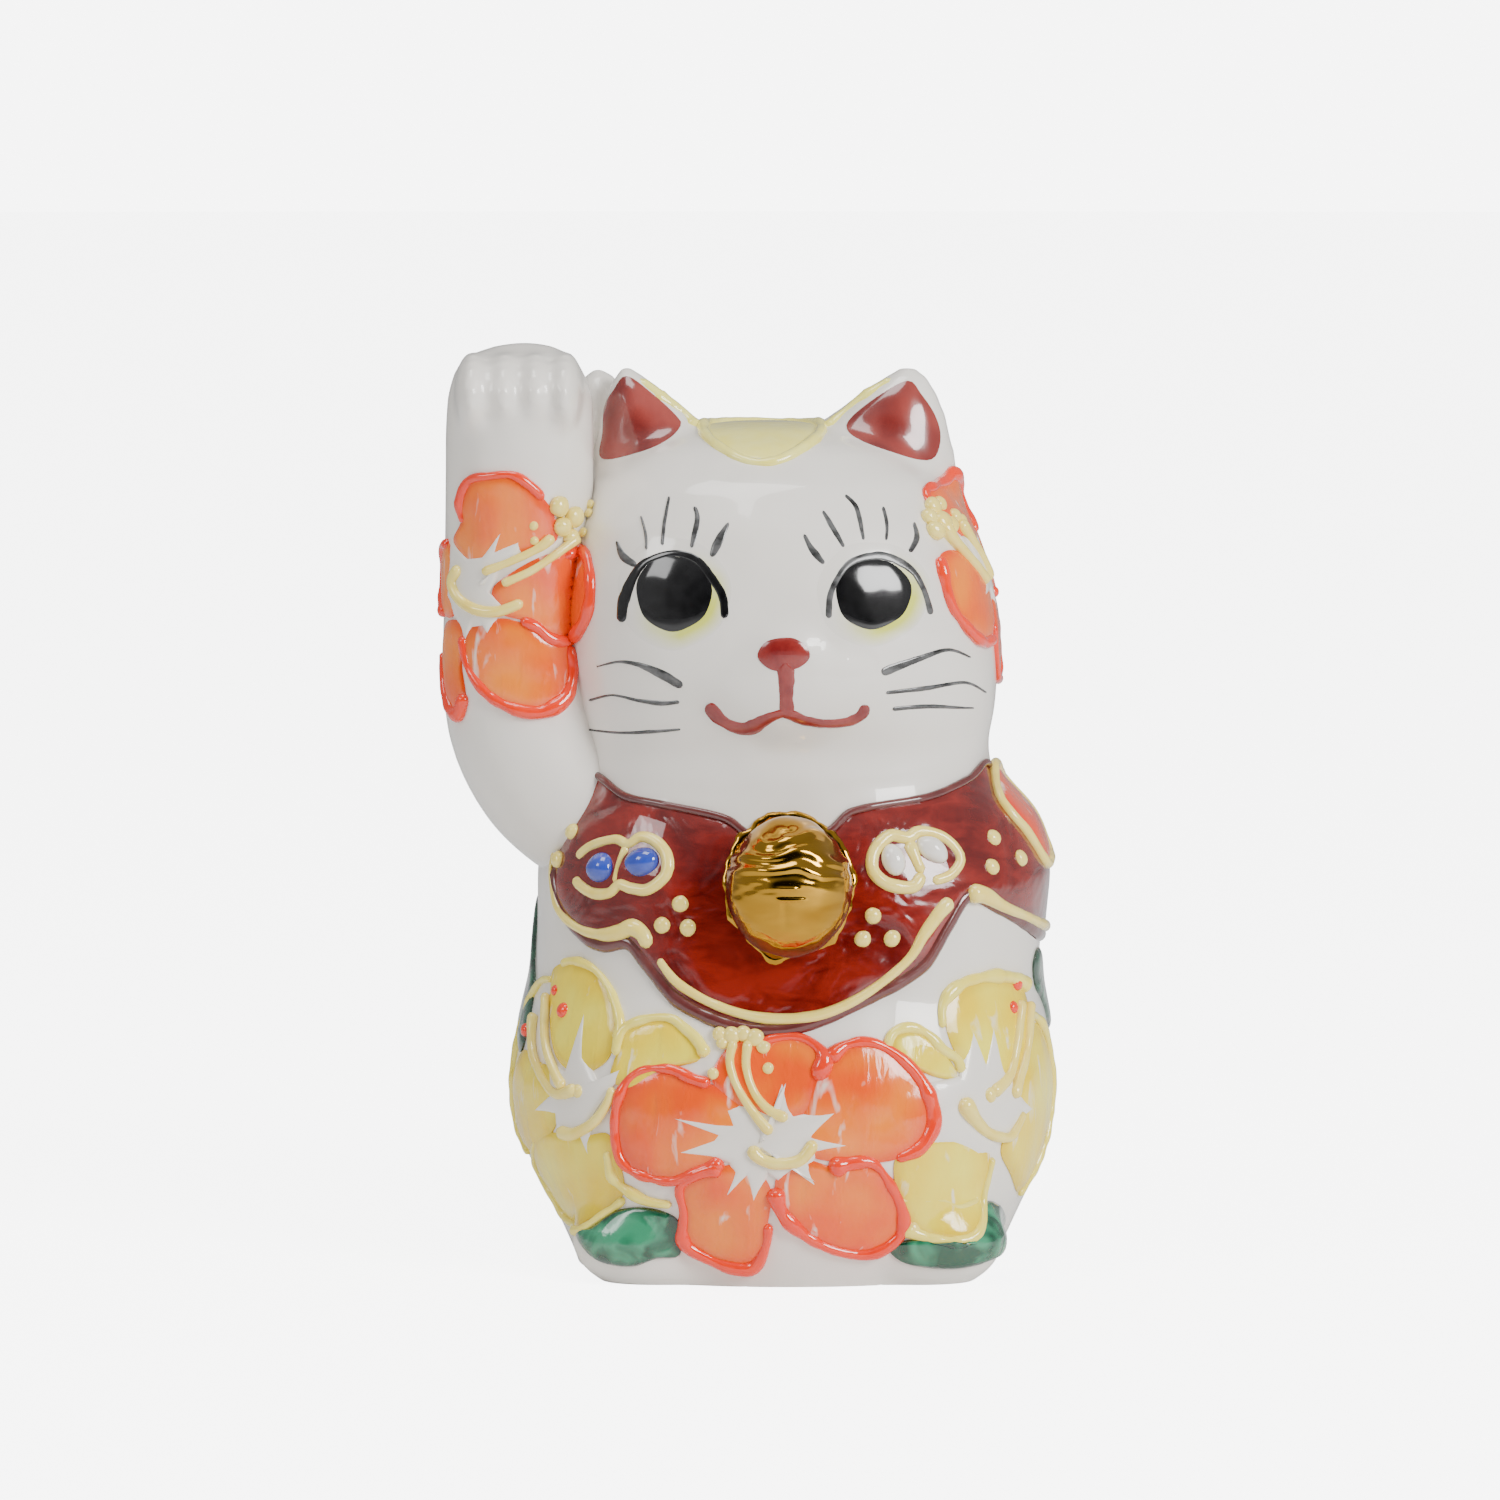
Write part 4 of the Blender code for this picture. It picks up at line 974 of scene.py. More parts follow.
# ---- Orange flowers ----------------------------------------------------------------------------------
# Petals of thick translucent orange enamel held by raised orange-red rims. The middle of each flower is
# left as bare glaze, a white star whose points run out between the brush strokes.
ORANGE_FLOWERS = {
    "front": (
        0,
        {
            "left": [
                (-7.4, 13.9), (-9.3, 13.0), (-12.3, 11.9), (-15.8, 12.3), (-17.6, 13.9), (-18.2, 16.8),
                (-17.9, 19.8), (-16.8, 22.0), (-15.0, 23.2), (-12.3, 23.3), (-10.1, 22.5), (-7.6, 21.9),
                (-4.6, 19.6), (-4.4, 16.0),
            ],
            "top": [
                (-8.0, 22.4), (-7.0, 25.2), (-5.0, 26.7), (-2.4, 26.5), (-1.0, 26.9), (1.3, 26.9),
                (3.2, 26.0), (3.8, 24.6), (3.0, 22.4), (2.0, 19.4), (-1.2, 18.2), (-5.0, 19.6),
            ],
            "right": [
                (2.6, 22.5), (4.0, 24.7), (6.2, 26.1), (8.8, 26.3), (11.5, 24.9), (13.7, 22.5),
                (15.0, 19.9), (15.1, 17.3), (13.7, 15.2), (11.1, 14.0), (7.0, 13.9), (2.4, 14.6),
                (1.4, 17.4),
            ],
            "low_right": [
                (2.0, 14.2), (4.6, 13.5), (6.5, 13.8), (8.8, 13.7), (10.3, 12.1), (11.8, 9.0),
                (12.0, 6.3), (10.4, 4.5), (8.1, 3.8), (4.7, 4.5), (1.7, 6.2), (-0.5, 8.6), (-1.4, 11.4),
                (-0.6, 13.2),
            ],
            "low_left": [
                (-1.8, 11.0), (-2.1, 7.3), (-2.3, 5.0), (-3.7, 2.6), (-5.9, 2.4), (-8.5, 3.5),
                (-10.9, 5.2), (-10.9, 8.3), (-11.3, 10.8), (-9.6, 12.5), (-6.7, 13.6), (-3.6, 13.2),
            ],
        },
    ),
    "arm": (
        -28,
        {
            "top": [
                (-27.0, 78.6), (-25.6, 80.8), (-25.6, 82.9), (-24.0, 85.3), (-21.5, 85.9),
                (-19.2, 85.8), (-16.9, 83.8), (-16.0, 81.4), (-16.2, 78.6), (-19.5, 77.6),
                (-22.6, 76.6), (-25.0, 76.6),
            ],
            "right": [
                (-16.4, 77.6), (-14.8, 77.8), (-12.7, 76.6), (-11.9, 73.6), (-12.8, 70.4),
                (-15.1, 68.5), (-16.8, 68.7), (-18.5, 70.3), (-21.0, 71.2), (-21.8, 73.7),
                (-19.4, 75.8),
            ],
            "low_right": [
                (-24.9, 69.4), (-25.7, 67.1), (-24.7, 64.7), (-22.4, 62.4), (-19.5, 61.1),
                (-17.0, 60.8), (-15.4, 62.1), (-15.2, 65.6), (-15.5, 67.9), (-17.0, 68.6),
                (-19.0, 70.2), (-21.5, 70.6),
            ],
            "low_left": [
                (-25.6, 69.8), (-25.9, 65.5), (-25.4, 62.0), (-26.5, 60.1), (-28.0, 60.6),
                (-29.2, 63.0), (-29.6, 66.5), (-28.6, 69.8),
            ],
            "left": [
                (-26.6, 76.0), (-28.0, 78.4), (-29.4, 77.8), (-30.3, 75.2), (-30.1, 72.3),
                (-29.1, 70.6), (-26.9, 71.0),
            ],
        },
    ),
    "head": (
        60,
        {
            "top": [
                (1.4, 79.0), (-1.8, 81.2), (-2.4, 82.6), (-1.6, 84.0), (1.2, 84.6), (4.0, 84.9),
                (6.0, 85.6), (8.6, 84.6), (9.6, 82.0), (8.2, 79.2), (5.0, 77.4),
            ],
            "left": [
                (4.6, 74.6), (1.0, 76.8), (-2.4, 77.9), (-4.8, 77.4), (-5.1, 75.4), (-5.0, 73.2),
                (-4.0, 71.2), (-1.4, 69.1), (1.6, 68.0), (4.2, 68.2), (5.6, 70.0), (5.4, 72.6),
            ],
            "low": [
                (6.6, 72.8), (5.8, 70.0), (6.0, 67.4), (7.2, 65.0), (9.4, 63.4), (12.2, 64.0),
                (13.6, 66.8), (12.8, 69.8), (10.2, 72.2),
            ],
            "right": [
                (7.2, 78.4), (10.2, 80.0), (13.2, 78.6), (14.2, 75.6), (12.8, 72.8), (10.2, 72.8),
                (7.0, 74.8),
            ],
        },
    ),
}
ORANGE_RIMS = {  # piped runs round the petals, each with its flower's azimuth
    "front_left": (
        0,
        [
            (-6.8, 13.9), (-9.3, 13.0), (-12.3, 11.7), (-15.8, 12.3), (-17.7, 13.7), (-18.3, 16.8),
            (-18.0, 19.8), (-16.9, 22.1), (-15.0, 23.4), (-12.3, 23.5), (-10.1, 22.6), (-8.2, 22.1),
        ],
        (1.5, 1.1, 0.9, 0.9, 0.9, 0.9, 1.0, 1.0, 0.8, 0.9, 1.2, 1.4),
    ),
    "front_top": (
        0,
        [(-2.4, 25.3), (-2.7, 26.4), (-1.0, 27.0), (1.3, 27.0), (3.1, 26.0), (3.8, 24.6), (2.9, 22.6)],
        (0.6, 0.9, 0.8, 0.9, 1.1, 1.5, 2.0),
    ),
    "front_right": (
        0,
        [
            (4.2, 24.7), (6.2, 26.2), (8.8, 26.4), (11.5, 25.0), (13.8, 22.6), (15.1, 19.9),
            (15.3, 17.3), (13.8, 15.1), (11.4, 14.1),
        ],
        (1.6, 1.0, 0.9, 1.0, 1.2, 1.3, 1.5, 1.3, 0.8),
    ),
    "front_low_right": (
        0,
        [
            (4.3, 13.2), (6.5, 13.8), (8.8, 13.8), (10.3, 12.2), (11.9, 9.0), (12.1, 6.2), (10.4, 4.4),
            (8.1, 3.7), (4.7, 4.4), (1.7, 6.1), (-0.6, 8.5), (-1.5, 11.2),
        ],
        (2.0, 1.2, 0.8, 0.9, 1.2, 1.2, 1.1, 0.9, 0.9, 1.1, 1.3, 1.7),
    ),
    "front_low_left": (
        0,
        [
            (-2.1, 7.3), (-2.3, 4.9), (-3.6, 2.4), (-5.9, 2.3), (-8.6, 3.3), (-11.0, 5.0), (-11.0, 8.3),
            (-11.4, 11.0), (-9.7, 12.6), (-7.0, 13.4),
        ],
        (0.8, 0.9, 1.4, 1.2, 1.0, 1.3, 0.9, 0.9, 1.2, 1.8),
    ),
    "arm_top": (
        -28,
        [
            (-25.2, 80.7), (-25.6, 82.9), (-24.2, 85.3), (-21.5, 85.9), (-19.2, 86.0), (-17.7, 84.9),
            (-16.7, 83.4),
        ],
        (0.7, 1.0, 0.9, 0.6, 0.7, 1.0, 0.9),
    ),
    "arm_right": (
        -28,
        [
            (-15.6, 77.1), (-14.6, 77.8), (-12.9, 76.9), (-11.8, 73.8), (-12.5, 70.6), (-15.1, 68.3),
            (-16.4, 68.3), (-17.6, 69.7), (-19.0, 70.5),
        ],
        (1.2, 1.0, 1.0, 1.0, 1.1, 1.3, 1.0, 1.0, 1.1),
    ),
    "arm_low_right": (
        -28,
        [
            (-25.7, 68.6), (-25.0, 65.5), (-22.7, 62.7), (-20.0, 61.1), (-17.2, 60.6), (-15.4, 62.0),
            (-15.1, 65.0), (-15.4, 67.6),
        ],
        (0.9, 0.8, 1.0, 1.0, 1.2, 1.4, 1.0, 0.9),
    ),
    "arm_low_left": (
        -28,
        [(-25.5, 62.4), (-26.5, 60.2), (-28.0, 60.6), (-29.3, 63.0), (-29.8, 66.5)],
        (1.2, 1.2, 1.0, 0.8, 0.7),
    ),
    "arm_left": (
        -28,
        [(-28.0, 78.4), (-29.4, 77.8), (-30.4, 75.2), (-30.2, 72.3), (-29.1, 70.6)],
        (1.0, 0.8, 0.8, 0.9, 1.2),
    ),
    "head_top": (
        60,
        [
            (-2.4, 82.5), (-1.8, 84.0), (1.2, 84.5), (4.5, 84.9), (6.4, 85.6), (8.8, 84.4), (9.8, 81.8),
            (8.4, 79.2),
        ],
        (0.8, 1.0, 1.0, 1.1, 1.2, 1.0, 0.9, 1.0),
    ),
    "head_left": (
        60,
        [
            (-5.0, 77.3), (-5.2, 75.4), (-5.1, 73.4), (-4.2, 71.3), (-1.4, 69.0), (1.6, 67.9),
            (4.3, 68.1),
        ],
        (1.3, 1.2, 0.8, 1.1, 1.1, 1.1, 1.0),
    ),
    "head_low": (
        60,
        [(5.6, 69.6), (5.9, 67.4), (7.1, 65.0), (9.4, 63.3), (12.3, 63.9), (13.8, 66.8), (12.9, 69.9)],
        (0.5, 0.5, 0.6, 0.8, 0.9, 0.9, 0.8),
    ),
    "head_right": (
        60,
        [(10.2, 80.1), (13.3, 78.7), (14.4, 75.6), (12.9, 72.7), (10.4, 72.7)],
        (1.0, 0.9, 0.9, 0.9, 1.1),
    ),
}
STARS = {
    "front": (
        0,
        [
            (-0.2, 23.3), (0.7, 18.9), (6.2, 19.7), (2.8, 16.7), (7.6, 15.7), (3.2, 15.1), (2.4, 13.7),
            (3.8, 10.9), (0.8, 13.2), (-1.0, 12.0), (-2.1, 12.8), (-3.7, 8.9), (-4.4, 12.4),
            (-7.0, 9.5), (-5.7, 12.7), (-6.2, 13.9), (-8.2, 14.4), (-12.7, 14.7), (-8.5, 16.3),
            (-8.0, 17.0), (-13.5, 18.9), (-8.2, 18.2), (-6.1, 18.1), (-6.8, 19.9), (-4.0, 20.1),
            (-2.0, 19.2), (-1.0, 19.6),
        ],
    ),
    "arm": (
        -28,
        [
            (-27.2, 78.9), (-24.7, 77.1), (-22.7, 77.4), (-20.2, 80.8), (-21.1, 78.2), (-18.3, 79.6),
            (-18.8, 77.8), (-20.8, 76.6), (-21.4, 74.6), (-22.1, 73.4), (-20.6, 71.9), (-21.5, 70.2),
            (-22.2, 68.3), (-22.9, 69.6), (-24.3, 69.6), (-25.2, 68.0), (-26.0, 69.8), (-27.4, 71.3),
            (-28.6, 72.6), (-28.2, 75.6),
        ],
    ),
    "head": (
        60,
        [
            (1.0, 79.2), (3.6, 77.4), (6.4, 79.6), (6.6, 76.6), (9.4, 76.4), (6.8, 74.6), (7.4, 71.0),
            (5.2, 73.2), (2.2, 72.4), (3.8, 74.8), (0.6, 75.8), (2.4, 76.8),
        ],
    ),
}


def petal_paint(name, thin, thick, deep):
    """Translucent enamel: brushed out from the foot in streaks that let the white show, pooled deeper here
    and there and along the rim."""
    paint = Paint(name, 0.15, coat=0.5)
    inward, outward = paint.rim_and_foot()
    place = paint.place()
    streak = paint.cloud(paint.stretched(place, (560, 560, 160)), 1, 3.0, 0.6)
    pool = paint.cloud(place, 150, 1.0)
    share = (pool * 2.6 - 0.9 + streak * 0.4).held()
    base = paint.mix(share, thin, thick)
    rim = (1 - inward * 4.5).held() * 0.6 + (outward * 1.6 - 1.0).held() * 0.3
    base = paint.mix(rim, base, deep)
    bare = ((streak - 0.56) * 9.0 - outward * 1.2).held() * 0.75
    paint.colour(paint.mix(bare, base, tint(246, 240, 226)))
    paint.bump(pool + streak * 0.2, 0.0008)
    return paint.material


def star(name, azimuth, corners, lift):
    """The bare white glaze in the heart of a flower, as a thin film with long points."""
    outline = []
    corners = [Vector(corner) for corner in corners]
    for before, after in zip(corners, corners[1:] + corners[:1]):
        outline += [before.lerp(after, k / 5) for k in range(5)]
    piece = film(name, outline, azimuth, lift)
    wear(piece, GLAZE)
    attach(piece, "root")


PETAL_LIFT = 0.4
ORANGE = petal_paint("orange_enamel", tint(255, 138, 22), tint(248, 84, 0), tint(232, 44, 0))
RIM_RED = enamel_paint("orange_rim", tint(255, 66, 8), tint(240, 30, 2), 0.1)
for flower, (azimuth, petals) in ORANGE_FLOWERS.items():
    for label, path in petals.items():
        name = f"{flower}_petal_{label}"
        petal = film(name + "_film", flowing(path, 0.55, closed=True), azimuth, PETAL_LIFT)
        fired(petal, ORANGE, "orange_enamel", name)
for label, (azimuth, path, widths) in ORANGE_RIMS.items():
    places = front_places(path, azimuth, 0.4, 0.15)
    rim = piped("rim_" + label, places, 1.25, 0.6, widths, wobble=0.35)
    fired(rim, RIM_RED, "orange_enamel")
for flower, (azimuth, corners) in STARS.items():
    star(flower + "_star", azimuth, corners, PETAL_LIFT + 0.06)

# ---- Yellow flowers ----------------------------------------------------------------------------------
# The side flowers are the same work in lemon yellow, washed thin towards the middle, with rims of paler
# yellow.
YELLOW_FLOWERS = {
    "yellow_left": (
        -47,
        {
            "top": [
                (-9.6, 32.2), (-7.2, 33.6), (-4.9, 33.8), (-1.6, 33.0), (0.8, 30.4), (2.3, 27.0),
                (1.6, 23.8), (-1.9, 22.4), (-5.8, 24.0), (-8.6, 28.5),
            ],
            "right": [
                (3.0, 25.4), (3.3, 27.2), (5.2, 28.2), (7.7, 28.5), (9.5, 27.5), (11.3, 24.7),
                (8.0, 23.4), (5.2, 21.2), (2.6, 22.4),
            ],
            "left": [
                (-4.6, 22.0), (-9.2, 23.0), (-13.4, 23.6), (-16.0, 21.0), (-16.6, 17.4), (-16.0, 14.0),
                (-12.4, 12.8), (-7.2, 14.6), (-4.4, 17.6),
            ],
            "low": [
                (-4.0, 15.9), (-9.4, 14.7), (-12.3, 10.8), (-10.6, 8.6), (-8.6, 6.2), (-5.0, 5.6),
                (-2.0, 5.9), (1.3, 7.9), (3.8, 10.0), (4.0, 13.0), (2.8, 16.3), (0.0, 16.0),
            ],
        },
    ),
    "yellow_right": (
        50,
        {
            "top": [
                (-2.4, 22.6), (-4.4, 25.0), (-4.8, 28.2), (-3.2, 31.0), (1.3, 32.2), (5.2, 31.6),
                (8.4, 30.2), (8.6, 26.0), (5.4, 22.2), (1.6, 21.6),
            ],
            "left": [
                (-4.6, 22.4), (-7.2, 22.6), (-10.4, 24.7), (-10.6, 26.6), (-8.7, 27.4), (-6.9, 26.4),
                (-5.4, 24.6),
            ],
            "low": [
                (-2.0, 15.2), (-5.6, 16.4), (-9.6, 16.4), (-11.6, 14.1), (-11.2, 10.7), (-9.6, 7.0),
                (-7.8, 5.4), (-4.2, 5.2), (-1.4, 7.0), (-0.4, 9.9), (-0.4, 13.2),
            ],
            "right": [
                (4.2, 21.0), (6.6, 24.6), (9.6, 26.8), (13.4, 24.0), (14.6, 19.6), (13.6, 15.0),
                (11.2, 11.0), (7.9, 8.4), (3.6, 11.4), (1.2, 14.2), (3.6, 17.6),
            ],
        },
    ),
}
YELLOW_RIMS = {
    "left_top": (
        -47,
        [(-7.4, 33.5), (-4.9, 34.0), (-1.9, 33.3), (0.5, 31.3), (2.6, 27.8), (2.3, 26.2)],
        (0.8, 0.8, 0.7, 0.8, 0.9, 1.0),
    ),
    "left_right": (
        -47,
        [(2.8, 24.6), (3.0, 27.2), (5.1, 28.5), (7.6, 28.8), (9.3, 27.8), (10.7, 26.6), (11.8, 25.0)],
        (1.4, 1.0, 1.0, 1.0, 0.9, 1.1, 1.4),
    ),
    "left_far": (
        -47,
        [
            (-9.4, 31.6), (-12.4, 31.0), (-15.0, 28.8), (-16.6, 25.6), (-17.2, 20.6), (-16.8, 15.6),
            (-13.8, 12.2),
        ],
        (0.7, 0.9, 0.9, 0.8, 0.8, 0.8, 0.7),
    ),
    "left_low": (
        -47,
        [
            (-9.6, 14.3), (-12.7, 11.0), (-10.4, 8.2), (-8.6, 5.8), (-4.8, 5.2), (-1.0, 5.7),
            (1.5, 7.5), (3.8, 9.4),
        ],
        (0.5, 0.6, 0.7, 0.9, 0.9, 0.9, 0.8, 0.8),
    ),
    "left_edge": (
        0,
        [(-19.1, 14.6), (-18.6, 11.9), (-17.3, 10.6), (-15.0, 9.4), (-12.3, 9.1)],
        (1.0, 1.1, 1.2, 1.1, 0.8),
    ),
    "right_top": (
        50,
        [(-5.3, 27.6), (-4.6, 30.2), (-2.2, 32.0), (1.4, 32.5), (5.3, 32.1), (9.1, 30.8)],
        (0.7, 1.1, 1.1, 1.2, 1.6, 1.8),
    ),
    "right_left": (
        50,
        [
            (-11.2, 25.8), (-10.5, 27.2), (-8.9, 27.8), (-7.2, 27.1), (-5.9, 25.4), (-4.3, 24.2),
            (-4.0, 22.8),
        ],
        (1.4, 1.0, 0.9, 1.0, 1.1, 1.1, 1.4),
    ),
    "right_far": (
        50,
        [(7.6, 27.6), (10.2, 27.4), (13.6, 24.6), (14.9, 19.8), (13.9, 15.0), (11.4, 10.8), (8.0, 8.2)],
        (1.0, 1.0, 0.8, 0.8, 0.8, 0.8, 0.7),
    ),
    "right_low": (
        50,
        [(-9.8, 6.6), (-7.8, 5.4), (-5.5, 4.9), (-3.3, 5.5), (-1.2, 7.7), (-0.5, 10.2), (-0.1, 13.4)],
        (1.7, 0.9, 1.1, 1.0, 0.9, 0.8, 0.7),
    ),
    "right_lip": (
        50,
        [(-10.9, 9.7), (-8.5, 9.4), (-6.0, 9.3), (-4.2, 8.4), (-1.5, 9.0)],
        (0.5, 0.4, 0.5, 0.6, 0.6),
    ),
}
YELLOW_STARS = {
    "yellow_left": (
        -47,
        [
            (-2.2, 30.0), (-1.2, 24.6), (1.0, 21.9), (4.6, 23.6), (2.2, 20.2), (0.4, 17.6), (0.6, 13.0),
            (-1.0, 16.0), (-4.6, 15.0), (-4.8, 17.8), (-9.6, 17.4), (-5.6, 19.8), (-6.8, 23.4),
            (-3.6, 22.4),
        ],
    ),
    "yellow_right": (
        50,
        [
            (-2.0, 28.0), (-0.8, 23.8), (1.4, 28.2), (2.0, 22.6), (4.4, 19.6), (8.0, 17.6), (3.6, 16.4),
            (0.4, 14.4), (-2.6, 13.4), (-6.0, 15.2), (-9.4, 15.2), (-8.6, 18.6), (-7.6, 22.0),
            (-4.4, 22.4),
        ],
    ),
}
YELLOW = petal_paint("yellow_enamel", tint(255, 240, 80), tint(250, 214, 0), tint(216, 180, 0))
PALE_RIM = enamel_paint("yellow_rim", tint(255, 244, 126), tint(250, 224, 66), 0.12)
for flower, (azimuth, petals) in YELLOW_FLOWERS.items():
    for label, path in petals.items():
        name = f"{flower}_petal_{label}"
        petal = film(name + "_film", flowing(path, 0.55, closed=True), azimuth, PETAL_LIFT)
        fired(petal, YELLOW, "yellow_enamel", name)
for label, (azimuth, path, widths) in YELLOW_RIMS.items():
    places = front_places(path, azimuth, 0.4, 0.15)
    rim = piped("rim_yellow_" + label, places, 1.15, 0.55, widths, wobble=0.35)
    fired(rim, PALE_RIM, "yellow_enamel")
for flower, (azimuth, corners) in YELLOW_STARS.items():
    star(flower + "_star", azimuth, corners, PETAL_LIFT + 0.06)

# ---- Shoulder flower ---------------------------------------------------------------------------------
# A small orange-red flower, brushed in one go over the bib's outer end at the shoulder away from the
# raised arm, and ringed with a piped cream line.
SHOULDER_AZIMUTH, SHOULDER_HEIGHT, SHOULDER_REACH = 85, 48.6, 5.2
outline = []
for i in range(80):
    turn = 2 * math.pi * i / 80
    reach = SHOULDER_REACH + 1.3 * abs(math.sin(2.5 * turn + 0.4)) ** 0.6
    outline.append(Vector((reach * math.cos(turn), SHOULDER_HEIGHT + 0.85 * reach * math.sin(turn))))
SHOULDER_ORANGE = petal_paint("shoulder_enamel", tint(250, 110, 60), tint(240, 62, 24), tint(228, 40, 12))
shoulder_flower = film("shoulder_flower_film", outline, SHOULDER_AZIMUTH, 1.0, foot=(0, 49))
fired(shoulder_flower, SHOULDER_ORANGE, "pink_enamel", "shoulder_flower")
places = front_places(outline[::4], SHOULDER_AZIMUTH, 0.4, 0.6, closed=True)
fired(piped("shoulder_rim", places, 1.2, 0.6, closed=True), CREAM, "cream_enamel")

# ---- Stamens -----------------------------------------------------------------------------------------
# Thick cream lines piped out of the heart of each flower, a heavy curl round it, and drops at the tips.
CURLS = {
    "front": (
        0,
        [(-4.0, 15.6), (-2.9, 14.4), (-1.0, 13.9), (1.3, 14.3), (2.8, 16.2)],
        (1.2, 1.0, 1.0, 1.0, 1.1),
    ),
    "arm": (
        -28,
        [(-25.6, 76.0), (-26.8, 74.5), (-26.0, 72.8), (-23.8, 71.6), (-21.2, 71.4), (-18.8, 72.4)],
        (1.0, 1.0, 1.0, 1.0, 0.9, 0.9),
    ),
    "yellow_left": (
        -47,
        [(-3.9, 16.1), (-1.8, 16.0), (1.0, 17.4), (2.7, 19.5), (3.2, 21.3)],
        (1.3, 1.0, 0.9, 0.8, 0.7),
    ),
    "yellow_right": (
        50,
        [(-4.6, 20.0), (-3.2, 17.9), (-1.0, 16.1), (2.1, 15.4), (3.5, 16.4), (4.7, 17.8)],
        (1.8, 1.3, 0.9, 0.9, 0.8, 0.7),
    ),
}
STAMENS = {
    "front": (
        0,
        [
            [(-5.7, 26.6), (-6.1, 24.4), (-5.3, 21.8), (-3.6, 19.2), (-1.8, 17.1)],
            [(-4.2, 26.6), (-4.4, 24.0), (-3.6, 21.4), (-2.1, 19.6), (-0.1, 18.6)],
        ],
    ),
    "arm": (
        -28,
        [
            [(-22.6, 75.6), (-19.8, 76.8), (-17.5, 78.1), (-16.3, 79.4)],
            [(-20.6, 74.4), (-18.0, 75.8), (-16.0, 77.7), (-15.0, 79.2)],
        ],
    ),
    "head": (
        60,
        [
            [(3.8, 74.2), (0.2, 77.0), (-2.0, 79.2), (-2.6, 80.8)],
            [(5.6, 74.2), (4.6, 76.5), (2.7, 78.6), (1.0, 80.6)],
        ],
    ),
    "yellow_left": (
        -47,
        [
            [(-11.9, 27.6), (-10.3, 24.0), (-6.7, 21.1), (-4.2, 20.0), (-1.3, 20.8)],
            [(-9.7, 30.0), (-7.8, 25.3), (-5.1, 22.3), (-3.2, 20.7)],
        ],
    ),
    "yellow_right": (
        50,
        [
            [(6.7, 29.4), (4.5, 25.2), (2.5, 22.0), (-0.6, 20.3)],
            [(8.9, 29.0), (6.1, 24.0), (4.1, 21.5), (2.8, 19.6)],
        ],
    ),
}
STAMEN_WIDTHS = {"front": 1.0, "arm": 0.95, "head": 1.5, "yellow_left": 1.15, "yellow_right": 1.3}
CREAM_TIPS = {  # flower: azimuth, then across, height and radius of each drop
    "front": (
        0,
        [
            (-7.2, 27.3, 0.8), (-5.9, 27.2, 1.0), (-4.7, 27.4, 0.9), (-3.5, 27.0, 1.0),
            (-2.6, 26.0, 0.75), (-7.9, 23.2, 0.65), (-2.1, 23.8, 0.62), (-6.9, 26.4, 0.7),
        ],
    ),
    "arm": (
        -28,
        [
            (-15.7, 82.6, 1.15), (-15.0, 81.4, 1.2), (-15.6, 80.4, 1.1), (-15.2, 79.2, 1.0),
            (-14.5, 82.4, 0.6), (-14.2, 81.6, 0.5), (-14.3, 79.6, 0.55), (-17.6, 80.6, 0.5),
            (-17.6, 79.0, 0.5),
        ],
    ),
    "head": (
        60,
        [
            (-4.0, 81.4, 1.0), (-2.4, 82.4, 1.1), (-0.8, 82.6, 0.9), (-4.2, 80.0, 1.1),
            (-2.4, 80.8, 1.3), (-1.0, 80.4, 1.0), (1.0, 81.2, 0.9), (2.0, 80.6, 0.9), (-1.0, 78.0, 0.6),
        ],
    ),
    "yellow_left": (-47, [(-1.2, 20.6, 0.75), (-3.0, 20.2, 0.7)]),
    "yellow_right": (50, [(-0.8, 20.2, 0.85), (-9.0, 6.4, 0.8)]),
}
ORANGE_TIPS = {
    "yellow_left": (-47, [(-8.0, 30.5, 0.62), (-5.7, 28.6, 0.85), (-13.5, 25.7, 0.75)]),
    "yellow_right": (50, [(6.4, 31.3, 0.8), (5.0, 28.9, 0.7)]),
}
STAMEN_TAPER = (1.0, 0.85, 0.8, 0.9, 1.25)
STANDS_FOR = {"front": ["front_stamen"], "arm": ["arm_stamen"], "head": ["head_stamen"]}


def tip(name, azimuth, across, height, radius):
    """A small domed drop on the skin, seen square on from an azimuth."""
    bpy.ops.object.select_all(action="DESELECT")
    bpy.ops.mesh.primitive_uv_sphere_add(segments=16, ring_count=10, radius=radius * MM)
    piece = bpy.context.object
    piece.name = name
    spot, normal = skin_at(azimuth, height, across)
    turn = Vector((0, 0, 1)).rotation_difference(normal)
    for vert in piece.data.vertices:
        uneven = 1 + 0.12 * noise.noise(spot * 300 + vert.co * 900)
        flat = turn @ Vector((vert.co.x, vert.co.y, vert.co.z * 0.75))
        vert.co = spot + flat * uneven + normal * 0.3 * MM
    bpy.ops.object.shade_smooth()
    return piece


